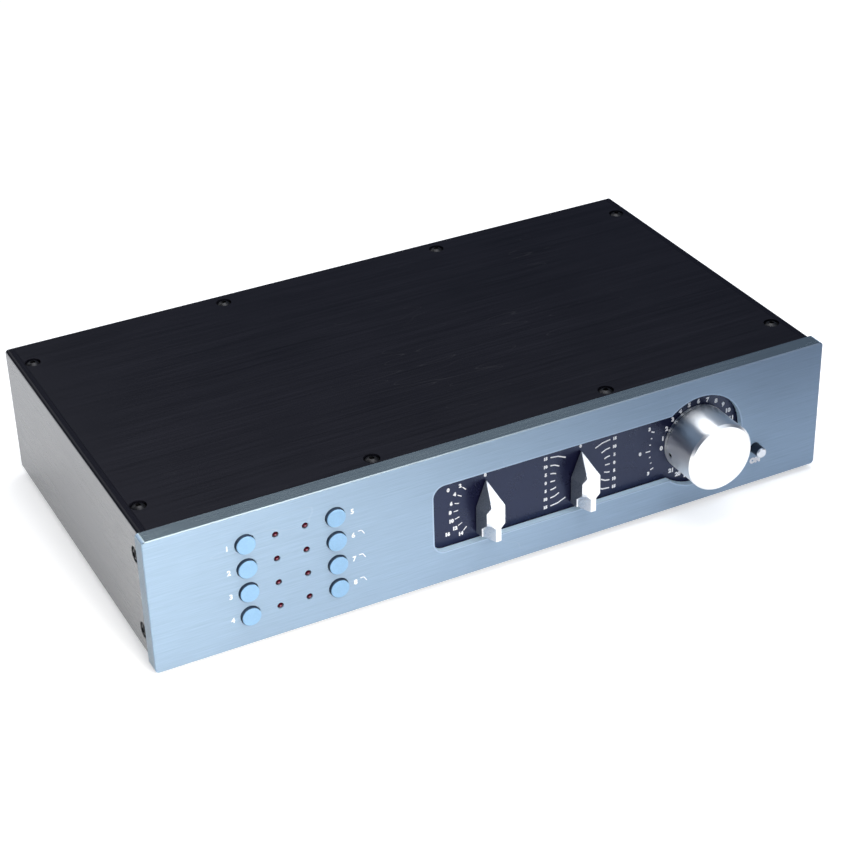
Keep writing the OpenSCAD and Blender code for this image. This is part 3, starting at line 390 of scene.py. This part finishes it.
# volume knob and balance ring: behind the face, everything inside the given radius is painted dark as shade,
# the set screw's hole among it
volumeLook = dict(color=(0.93, 0.935, 0.94), spread=0.05, rings=5200.0, ringShare=0.7, cloudScale=60.0,
                  roughness=(0.29, 0.36), anisotropic=0.9,
                  flankFrom=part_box("volume_knob")[0][1] + 1.25 * mm, bump=0.3, groove=0.03 * mm,
                  shadedInside=17.7 * mm, holeShadeColor=(0.03, 0.03, 0.035))

# the pointer knobs' outline, measured from the middle of their top; the flank colour and the grip colour are
# painted shade
pointerLook = dict(color=(0.94, 0.945, 0.95), flank=(0.165, 0.185, 0.225), wear=0.94, roughness=(0.24, 0.34),
                   scale=2200.0, bump=0.12, depth=0.05 * mm, half=5.6 * mm, tip=12.2 * mm, shoulder=1.2 * mm,
                   draft=0.55 * mm, bevel=2.25 * mm,
                   grip=dict(near=0.25 * mm, far=7.0 * mm, below=5.0 * mm, color=(0.62, 0.64, 0.68)))
leftTop = np.array([leftAxis[0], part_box("left_pointer_knob")[0][1], leftAxis[2]])
rightTop = np.array([rightAxis[0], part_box("right_pointer_knob")[0][1], rightAxis[2]])

mottledLooks = {
    "scalePaint": dict(color=(0.006, 0.006, 0.024), spread=0.15, roughness=(0.25, 0.33), scale=1500.0,
                       bump=0.04, specular=0.6, tint=(0.52, 0.66, 1.0)),
    # the buttons' sides painted dark as shade behind the front
    "buttonSatin": dict(color=(0.27, 0.465, 0.69), spread=0.08, roughness=(0.4, 0.52), scale=1300.0,
                        bump=0.15, flank=(0.03, 0.05, 0.09),
                        flankFrom=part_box("button_1")[0][1] + 0.4 * mm),
    # the power button's side painted dark as shade, the end silver
    "powerChrome": dict(color=(0.62, 0.65, 0.70), spread=0.05, metallic=1.0, roughness=(0.3, 0.38),
                        scale=900.0, bump=0.02, flank=(0.05, 0.058, 0.075),
                        flankFrom=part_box("power_button")[0][1] + 0.9 * mm),
    # the lamps' front tip painted lighter as a painted highlight; the flank colour is the lamps' own dark
    # red
    "lampRedPaintedSpot": dict(color=(0.30, 0.10, 0.13), spread=0.15, roughness=(0.10, 0.16), scale=800.0, bump=0.01,
                    specular=0.3, tint=(1.0, 0.55, 0.7), flank=(0.034, 0.0015, 0.006),
                    flankFrom=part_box("lamps")[0][1] + 0.05 * mm),
    "screwOxide": dict(color=(0.012, 0.012, 0.014), spread=0.3, metallic=0.6, roughness=(0.3, 0.45),
                       scale=1800.0, bump=0.15),
    "alloyMilled": dict(color=(0.60, 0.61, 0.63), spread=0.08, metallic=1.0, roughness=(0.35, 0.5),
                        scale=900.0, bump=0.2),
    "steelPlated": dict(color=(0.58, 0.58, 0.60), spread=0.08, metallic=1.0, roughness=(0.25, 0.4),
                        scale=900.0, bump=0.1),
    "nutPlated": dict(color=(0.68, 0.62, 0.46), spread=0.08, metallic=1.0, roughness=(0.25, 0.4),
                      scale=900.0, bump=0.1),
    "switchResin": dict(color=(0.24, 0.2, 0.14), spread=0.15, roughness=(0.4, 0.55),
                        scale=900.0, bump=0.1),
    "blackMoulding": dict(color=(0.018, 0.018, 0.02), spread=0.2, roughness=(0.4, 0.55),
                          scale=1200.0, bump=0.2),
    "boardLacquer": dict(color=(0.02, 0.13, 0.05), spread=0.2, roughness=(0.25, 0.4),
                         scale=400.0, bump=0.1),
    "canSleeve": dict(color=(0.02, 0.03, 0.13), spread=0.15, roughness=(0.25, 0.35),
                      scale=500.0, bump=0.05),
    "filmCase": dict(color=(0.42, 0.04, 0.025), spread=0.12, roughness=(0.25, 0.35),
                     scale=500.0, bump=0.05),
    "windingTape": dict(color=(0.5, 0.4, 0.14), spread=0.2, roughness=(0.25, 0.4),
                        scale=300.0, bump=0.2),
    "footRubber": dict(color=(0.016, 0.016, 0.016), spread=0.2, roughness=(0.7, 0.85),
                       scale=1500.0, bump=0.4, specular=0.3),
    "goldPlated": dict(color=(0.78, 0.56, 0.22), spread=0.06, metallic=1.0, roughness=(0.18, 0.28),
                       scale=900.0, bump=0.05),
    "printWhite": dict(color=(0.95, 0.95, 0.96), spread=0.03, roughness=(0.5, 0.6),
                       scale=2500.0, bump=0.1),
    "insulatorWhite": dict(color=(0.75, 0.74, 0.70), spread=0.05, roughness=(0.3, 0.42),
                           scale=1200.0, bump=0.1),
    "insulatorRed": dict(color=(0.42, 0.02, 0.02), spread=0.08, roughness=(0.3, 0.42),
                         scale=1200.0, bump=0.1),
}
finishes = {name: mottled(name, look) for name, look in mottledLooks.items()}
for name, look in (("panelBrushed", panelLook), ("topBrushed", topLook), ("sideSatin", sideLook)):
    finishes[name] = brushedMetal(name, look)
finishes["volumeTurned"] = turnedMetal("volumeTurned", volumeLook, dialAxis)
for name, top in (("leftPointerSatin", leftTop), ("rightPointerSatin", rightTop)):
    finishes[name] = pointerMetal(name, pointerLook, top)

wearing = {
    "panelBrushed": ["front_panel"],
    "topBrushed": ["top_plate", "bottom_plate", "rear_panel"],
    "sideSatin": ["left_side_panel", "right_side_panel"],
    "volumeTurned": ["volume_knob", "balance_ring"],
    "leftPointerSatin": ["left_pointer_knob"],
    "rightPointerSatin": ["right_pointer_knob"],
    "scalePaint": ["scale_plate"],
    "buttonSatin": buttonNames,
    "powerChrome": ["power_button"],
    "lampRedPaintedSpot": ["lamps"],
    "screwOxide": ["top_screws", "bottom_screws", "side_screws", "rear_screws", "inlet_screws",
                   "volume_set_screw"],
    "alloyMilled": ["corner_blocks", "plate_blocks"],
    "steelPlated": ["inner_panel", "volume_shaft", "balance_tube", "left_switch_shaft", "right_switch_shaft",
                    "transformer_clamp", "inlet_pins", "volume_control"],
    "nutPlated": ["volume_control_nut", "rotary_switch_nuts", "board_spacers", "board_pillars"],
    "switchResin": ["left_rotary_switch", "right_rotary_switch"],
    "blackMoulding": ["power_switch", "push_switches", "mains_inlet", "fuse_holder", "amplifier_chips"],
    "boardLacquer": ["control_board", "main_board"],
    "canSleeve": ["smoothing_capacitors"],
    "filmCase": ["film_capacitors"],
    "windingTape": ["transformer"],
    "footRubber": ["transformer_pad", "foot_front_left", "foot_front_right", "foot_rear_left",
                   "foot_rear_right"],
    "goldPlated": ["line_sockets", "earth_terminal"],
}
for finish, names in wearing.items():
    for name in names:
        mesh = nodes[name].data
        mesh.materials.clear()
        mesh.materials.append(finishes[finish])
print("finishes on", sum(len(names) for names in wearing.values()), "nodes")


# a part of a piece is its points, the corner numbers of all its faces in one row, and the corner count of
# each face
def quads(points, faces):
    return points, faces.ravel(), np.full(len(faces), 4)


# parts are joined by raising each one's corner numbers past the points of those before it
def addPiece(name, parts, finish, body):
    pointCounts = np.array([len(part[0]) for part in parts])
    firstPoints = np.cumsum(pointCounts) - pointCounts
    points = np.concatenate([part[0] for part in parts])
    corners = np.concatenate([part[1] + first for part, first in zip(parts, firstPoints)])
    sides = np.concatenate([part[2] for part in parts])
    mesh = bpy.data.meshes.new(name)
    mesh.vertices.add(len(points))
    mesh.vertices.foreach_set("co", points.ravel())
    mesh.loops.add(len(corners))
    mesh.loops.foreach_set("vertex_index", corners)
    mesh.polygons.add(len(sides))
    mesh.polygons.foreach_set("loop_start", np.cumsum(sides) - sides)
    mesh.update(calc_edges=True)
    mesh.shade_flat()
    mesh.materials.append(finishes[finish])
    piece = bpy.data.objects.new(name, mesh)
    bpy.context.collection.objects.link(piece)
    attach(piece, body)


# the print stands a little proud of its surface and a little sunk; the built-in face's figures are 0.69 of
# its size high
ink = dict(lift=0.06 * mm, sink=0.03 * mm, bold=0.12, figureShare=0.69, curveSteps=3)


# a printed line: a flat ribbon of given width along a path of (x, z) points, closed as a thin slab;
# each row of the grid is the path moved half a width to either side of its own direction
def stroke(path, width, surfaceY):
    path = np.asarray(path, float)
    heading = np.gradient(path, axis=0)
    heading /= np.linalg.norm(heading, axis=1, keepdims=True)
    across = np.stack([-heading[:, 1], heading[:, 0]], 1) * width / 2
    left, right = path + across, path - across
    rows = len(path)
    ring = np.stack([left, right, right, left], 1)
    front, back = surfaceY - ink["lift"], surfaceY + ink["sink"]
    depth = np.tile([front, front, back, back], (rows, 1))
    points = np.stack([ring[..., 0], depth, ring[..., 1]], -1).reshape(-1, 3)
    first = np.arange(rows - 1)[:, None] * 4
    corner = np.arange(4)[None, :]
    following = (corner + 1) % 4
    walls = np.stack([first + corner, first + following, first + 4 + following, first + 4 + corner], -1)
    ends = np.array([[3, 2, 1, 0], (rows - 1) * 4 + np.arange(4)])
    return quads(points, np.concatenate([walls.reshape(-1, 4), ends]))


# a printed figure: the built-in face's outline, thickened and filled, given the print's depth, centred,
# stood upright so that its height runs along Z, and moved to its (x, z) place
def figure(text, place, height, surfaceY, bold=ink["bold"]):
    curve = bpy.data.curves.new("figure", "FONT")
    curve.body = text
    curve.size = height / ink["figureShare"]
    curve.offset = height * bold
    curve.resolution_u = ink["curveSteps"]
    curve.extrude = (ink["lift"] + ink["sink"]) / 2
    holder = bpy.data.objects.new("figure", curve)
    bpy.context.collection.objects.link(holder)
    bpy.context.view_layer.update()
    mesh = bpy.data.meshes.new_from_object(holder.evaluated_get(bpy.context.evaluated_depsgraph_get()))
    points = np.empty(len(mesh.vertices) * 3)
    corners = np.empty(len(mesh.loops), int)
    sides = np.empty(len(mesh.polygons), int)
    mesh.vertices.foreach_get("co", points)
    mesh.loops.foreach_get("vertex_index", corners)
    mesh.polygons.foreach_get("loop_total", sides)
    bpy.data.objects.remove(holder)
    bpy.data.curves.remove(curve)
    bpy.data.meshes.remove(mesh)
    points = points.reshape(-1, 3)
    points -= (points.min(0) + points.max(0)) / 2
    middleY = surfaceY + (ink["sink"] - ink["lift"]) / 2
    upright = np.stack([points[:, 0] + place[0], middleY - points[:, 2], points[:, 1] + place[1]], 1)
    return upright, corners, sides


def polar(axis, radius, degrees):
    angle = math.radians(degrees)
    return np.array([axis[0] + radius * math.cos(angle), axis[2] + radius * math.sin(angle)])


# figures round the volume knob, 0 at the left and on clockwise; the print stands a little right and low
volumeScale = dict(count=22, first=180.0, step=-15.0, radius=20.75 * mm, height=2.15 * mm, bold=0.09,
                   shift=(1.15 * mm, 0, -0.75 * mm))
volumeParts = []
for number in range(volumeScale["count"]):
    angle = volumeScale["first"] + number * volumeScale["step"]
    place = polar(dialAxis + volumeScale["shift"], volumeScale["radius"], angle)
    volumeParts.append(figure(str(number), place, volumeScale["height"], plateY, volumeScale["bold"]))
addPiece("volume_figures", volumeParts, "printWhite", "case")

# the other scales are printed a little under the axes, with a 0 over each pointer knob
printDrop = np.array([0, 0, 0.5 * mm])
balanceCentre, leftCentre, rightCentre = (axis - printDrop for axis in (dialAxis, leftAxis, rightAxis))
zeroHigh = 14.6 * mm

# balance marks on an arc left of the dial: dots, with a dash in the middle and longer dots at the ends
balanceScale = dict(marks=3, middle=180.0, step=7.7, radius=26.4 * mm, width=0.62 * mm, dot=0.85 * mm,
                    endDot=1.87 * mm, dash=2.6 * mm, height=1.7 * mm, zeroOut=5.4 * mm, endOut=3.2 * mm,
                    endStep=3.3)
balanceParts = []
for mark in range(-balanceScale["marks"], balanceScale["marks"] + 1):
    angle = balanceScale["middle"] + mark * balanceScale["step"]
    inner = balanceScale["radius"] - balanceScale["dot"] / 2
    length = balanceScale["dash"] if mark == 0 else balanceScale["dot"]
    if abs(mark) == balanceScale["marks"]:
        length = balanceScale["endDot"]
    ends = [polar(balanceCentre, radius, angle) for radius in (inner, inner + length)]
    balanceParts.append(stroke(ends, balanceScale["width"], plateY))
balanceFigures = [("0", balanceScale["zeroOut"], 0)]
balanceFigures += [("3", balanceScale["endOut"], side * balanceScale["endStep"]) for side in (-1, 1)]
for text, outward, steps in balanceFigures:
    angle = balanceScale["middle"] + steps * balanceScale["step"]
    place = polar(balanceCentre, balanceScale["radius"] + outward, angle)
    balanceParts.append(figure(text, place, balanceScale["height"], plateY))
addPiece("balance_marks", balanceParts, "printWhite", "case")

# ticks and figures left of the left pointer knob, with the ends of its range in the window's corners
leftScale = dict(first=135.0, step=15.0, count=7, inner=14.7 * mm, outer=17.1 * mm, figures=18.9 * mm,
                 width=0.50 * mm, height=1.75 * mm, perTick=2,
                 ends={"0": (-19.7 * mm, 12.3 * mm), "16": (-20.4 * mm, -12.1 * mm)})
leftParts = []
for tick in range(leftScale["count"]):
    angle = leftScale["first"] + tick * leftScale["step"]
    ends = [polar(leftCentre, leftScale[end], angle) for end in ("inner", "outer")]
    leftParts.append(stroke(ends, leftScale["width"], plateY))
    place = polar(leftCentre, leftScale["figures"], angle)
    leftParts.append(figure(str((tick + 1) * leftScale["perTick"]), place, leftScale["height"], plateY))
for text, (x, z) in (*leftScale["ends"].items(), ("0", (0, zeroHigh))):
    leftParts.append(figure(text, (leftAxis[0] + x, midZ + z), leftScale["height"], plateY))
addPiece("left_scale", leftParts, "printWhite", "case")

# rows of lines on both sides of the right pointer knob, which lead to a circle round its axis
rightScale = dict(rows=3, pitch=4.58 * mm, circle=14.0 * mm, draw=0.825, bend=0.96, column=16.6 * mm,
                  figures=19.2 * mm, width=0.65 * mm, height=1.5 * mm, perRow=5)
rightParts = []
rightX, rightZ = rightCentre[0], midZ - printDrop[2]
for side in (-1, 1):
    for row in range(-rightScale["rows"], rightScale["rows"] + 1):
        high = row * rightScale["pitch"]
        low = high * rightScale["draw"]
        reach = math.sqrt(rightScale["circle"] ** 2 - low ** 2)
        outs = np.array([rightScale["column"], (reach + rightScale["column"]) / 2, reach])
        ups = np.array([high, high * rightScale["bend"], low])
        path = np.stack([rightX + side * outs, rightZ + ups], 1)
        rightParts.append(stroke(path, rightScale["width"], plateY))
        place = (rightX + side * rightScale["figures"], rightZ + high)
        rightParts.append(figure(str(abs(row) * rightScale["perRow"]), place, rightScale["height"], plateY))
rightParts.append(figure("0", (rightX, midZ + zeroHigh), rightScale["height"], plateY))
addPiece("right_scale", rightParts, "printWhite", "case")

# plain numbers beside the push buttons, a falling filter curve after the last three, and the power mark
buttonMarks = dict(columnCount=4, height=2.5 * mm, bold=0.05, gap=8.6 * mm, firstCurve=6,
                   curveAt=(11.0 * mm, 1.4 * mm), curveWidth=0.45 * mm,
                   curve=np.array([(0, 0), (1.6, 0), (2.0, -0.25), (3.2, -2.2)]) * mm)
powerMark = dict(text="ON", right=0.5 * mm, under=7.4 * mm, height=2.6 * mm, bold=0.16)
buttonParts = []
for number, button in enumerate(buttonNames, 1):
    x, z = middleOf(button)[[0, 2]]
    side = -1 if number <= buttonMarks["columnCount"] else 1
    place = (x + side * buttonMarks["gap"], z)
    buttonParts.append(figure(str(number), place, buttonMarks["height"], faceY, buttonMarks["bold"]))
    if number >= buttonMarks["firstCurve"]:
        path = np.array([x, z]) + buttonMarks["curveAt"] + buttonMarks["curve"]
        buttonParts.append(stroke(path, buttonMarks["curveWidth"], faceY))
x, z = middleOf("power_button")[[0, 2]]
place = (x + powerMark["right"], z - powerMark["under"])
buttonParts.append(figure(powerMark["text"], place, powerMark["height"], faceY, powerMark["bold"]))
addPiece("button_numbers", buttonParts, "printWhite", "case")
print("scales and numbers printed")


# a sleeve round an axis along Y: a rectangle of (radius, y) corners carried round the axis;
# teeth take a cosine wave of the given depth off the outer radius
def sleeve(look, axis, start, end, around, teeth=0, depth=0.0):
    radii = np.array([look["inner"], look["outer"], look["outer"], look["inner"]])
    outer = np.array([0, 1, 1, 0])
    angle = np.linspace(0, 2 * np.pi, around, endpoint=False)[:, None]
    radius = radii - outer * depth * (0.5 - 0.5 * np.cos(teeth * angle))
    along = np.broadcast_to([start, start, end, end], radius.shape)
    points = np.stack([axis[0] + radius * np.cos(angle), along, axis[2] + radius * np.sin(angle)], -1)
    turn, corner = np.meshgrid(np.arange(around), np.arange(4), indexing="ij")
    first, second = turn * 4, (turn + 1) % around * 4
    following = (corner + 1) % 4
    faces = np.stack([first + corner, first + following, second + following, second + corner], -1)
    return quads(points.reshape(-1, 3), faces.reshape(-1, 4))


# coloured insulators in the mouths of the line sockets, white above and red below
socketRing = dict(flange=5.6 * mm, rows=11.0 * mm, count=6, inner=1.72 * mm, outer=3.1 * mm, sunk=0.2 * mm,
                  proud=0.15 * mm, around=32)
socketLow, socketHigh = cornersOf("line_sockets")
socketXs = np.linspace(socketLow[0] + socketRing["flange"], socketHigh[0] - socketRing["flange"],
                       socketRing["count"])
for name, finish, side in (("socket_insulators_upper", "insulatorWhite", 1),
                           ("socket_insulators_lower", "insulatorRed", -1)):
    rowZ = midZ + side * socketRing["rows"]
    start, end = socketHigh[1] - socketRing["sunk"], socketHigh[1] + socketRing["proud"]
    rings = [sleeve(socketRing, (x, 0, rowZ), start, end, socketRing["around"]) for x in socketXs]
    addPiece(name, rings, finish, "case")

# knurled sleeve on the earth terminal's nut and a ribbed sleeve on the fuse cap
knurls = {
    "earth_knurl": dict(node="earth_terminal", finish="goldPlated", slot="plated", inner=4.2 * mm,
                        outer=4.9 * mm, start=-10.0 * mm, end=-4.4 * mm, teeth=40, depth=0.35 * mm),
    "fuse_ribs": dict(node="fuse_holder", finish="blackMoulding", slot="moulding", inner=7.2 * mm,
                      outer=7.9 * mm, start=-7.6 * mm, end=-2.2 * mm, teeth=30, depth=0.4 * mm),
}
pointsPerTooth = 6
for name, knurl in knurls.items():
    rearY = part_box(knurl["node"])[1][1]
    part = sleeve(knurl, middleOf(knurl["node"]), rearY + knurl["start"], rearY + knurl["end"],
                  knurl["teeth"] * pointsPerTooth, knurl["teeth"], knurl["depth"])
    addPiece(name, [part], knurl["finish"], "case")
print("rear details added")


def unit(vector):
    return vector / np.linalg.norm(vector)


# a pose's columns are the thing's own axes and its place
def poseOf(side, up, away, place):
    pose = np.eye(4)
    pose[:3] = np.stack([side, up, away, place], 1)
    return Matrix(pose.tolist())


# the place is in millimetres from the middle of the panel's lower front edge
photoCamera = dict(azimuth=-26.397, elevation=31.123, roll=-1.708, place=(-402.23, -726.22, 578.72),
                   lens=88.917, sensor=36, clip=(0.01, 100))
azimuth, elevation, roll = (math.radians(photoCamera[turn]) for turn in ("azimuth", "elevation", "roll"))
away = np.array([math.sin(azimuth) * math.cos(elevation), -math.cos(azimuth) * math.cos(elevation),
                 math.sin(elevation)])
level = unit(np.cross(-away, [0, 0, 1]))
upright = np.cross(level, -away)
optics = bpy.data.cameras.new("photoCamera")
optics.sensor_width = photoCamera["sensor"]
optics.lens = photoCamera["lens"]
optics.clip_start, optics.clip_end = photoCamera["clip"]
camera = bpy.data.objects.new("photoCamera", optics)
bpy.context.collection.objects.link(camera)
camera.matrix_world = poseOf(math.cos(roll) * level + math.sin(roll) * upright,
                             math.cos(roll) * upright - math.sin(roll) * level, away,
                             np.array(photoCamera["place"]) * mm + [0, faceY, panelLow[2]])
bpy.context.scene.camera = camera

# the floor glows to white where it is seen or mirrored, and gives back only its own colour as light
floorLook = dict(reach=30.0, color=(0.32, 0.34, 0.39), lit=(0.74, 0.74, 0.74), glow=0.56)
reach = floorLook["reach"]
floorMesh = bpy.data.meshes.new("studioFloor")
floorMesh.from_pydata([(-reach, -reach, 0), (reach, -reach, 0), (reach, reach, 0), (-reach, reach, 0)], [],
                      [(0, 1, 2, 3)])
floor = bpy.data.objects.new("studioFloor", floorMesh)
bpy.context.collection.objects.link(floor)
floorMaterial = bpy.data.materials.new("studioFloor")
floorMaterial.use_nodes = True
tree = floorMaterial.node_tree
tree.nodes.clear()
plain = addNode(tree, "ShaderNodeBsdfDiffuse", {"Color": (*floorLook["color"], 1)})
lit = addNode(tree, "ShaderNodeBsdfDiffuse", {"Color": (*floorLook["lit"], 1)})
glow = addNode(tree, "ShaderNodeEmission", {"Strength": floorLook["glow"]})
seen = addNode(tree, "ShaderNodeAddShader", {0: lit.outputs[0], 1: glow.outputs[0]})
paths = tree.nodes.new("ShaderNodeLightPath").outputs
mirrored = mathNode(tree, "MAXIMUM", paths["Is Glossy Ray"], paths["Is Transmission Ray"])
looking = mathNode(tree, "MAXIMUM", paths["Is Camera Ray"], mirrored)
choose = addNode(tree, "ShaderNodeMixShader", {0: looking, 1: plain.outputs[0], 2: seen.outputs[0]})
addNode(tree, "ShaderNodeOutputMaterial", {"Surface": choose.outputs[0]})
floorMesh.materials.append(floorMaterial)

studioLights = {
    "frontSoftbox": dict(at=(-0.152, -0.62, 0.28), aim=(-0.30, -0.095, 0.041), size=(0.24, 0.20), power=0.96,
                         spread=74.6, color=(1.0, 0.96, 0.87), mirrored=False),
    "lowSoftbox": dict(at=(0.15, -0.27, 0.03), aim=(0.15, -0.095, 0.009), size=(0.45, 0.02), power=0.034,
                       spread=49, color=(0.97, 0.98, 1.0), mirrored=False),
    "edgeSoftbox": dict(at=(-0.03, -0.54, 0.70), aim=(-0.18, -0.095, 0.071), size=(0.45, 0.30), power=0.18,
                        spread=60, color=(1.0, 1.0, 1.0), mirrored=True),
    "topSoftbox": dict(at=(0.42, -0.32, 1.03), aim=(0, 0, 0.03), size=(1.2, 1.2), power=5.2, spread=180,
                       color=(0.90, 0.95, 1.0), mirrored=True),
    "streakSoftbox": dict(at=(0.10, 0.14, 1.10), aim=(0.1, -0.1, 0.03), size=(0.75, 0.9), power=8.5,
                          spread=180, color=(1.0, 1.0, 1.0), mirrored=True),
    "backSoftbox": dict(at=(-0.36, 1.05, 0.84), aim=(0, 0, 0.03), size=(0.8, 0.6), power=2.0, spread=180,
                        color=(1.0, 1.0, 1.0), mirrored=True),
}
for name, light in studioLights.items():
    softbox = bpy.data.lights.new(name, "AREA")
    softbox.shape = "RECTANGLE"
    softbox.size, softbox.size_y = light["size"]
    softbox.energy = light["power"]
    softbox.color = light["color"]
    softbox.spread = math.radians(light["spread"])
    lamp = bpy.data.objects.new(name, softbox)
    bpy.context.collection.objects.link(lamp)
    away = unit(np.array(light["at"]) - np.array(light["aim"]))
    side = unit(np.cross([0, 0, 1], away))
    lamp.matrix_world = poseOf(side, np.cross(away, side), away, light["at"])
    lamp.visible_camera = False
    lamp.visible_glossy = light["mirrored"]

# the world's faint light, and what the camera sees past the floor's end
worldLook = dict(ambient=(0.055, 0.075, 0.12), backdrop=(0.60, 0.615, 0.65))
world = bpy.data.worlds.new("studioWorld")
bpy.context.scene.world = world
world.use_nodes = True
tree = world.node_tree
ambient = tree.nodes["Background"]
ambient.inputs["Color"].default_value = (*worldLook["ambient"], 1)
backdrop = addNode(tree, "ShaderNodeBackground", {"Color": (*worldLook["backdrop"], 1)})
looking = tree.nodes.new("ShaderNodeLightPath").outputs["Is Camera Ray"]
choose = addNode(tree, "ShaderNodeMixShader", {0: looking, 1: ambient.outputs[0], 2: backdrop.outputs[0]})
feed(tree, tree.nodes["World Output"].inputs["Surface"], choose.outputs[0])
bpy.context.scene.view_settings.view_transform = "Standard"
print("camera, floor and lights set")
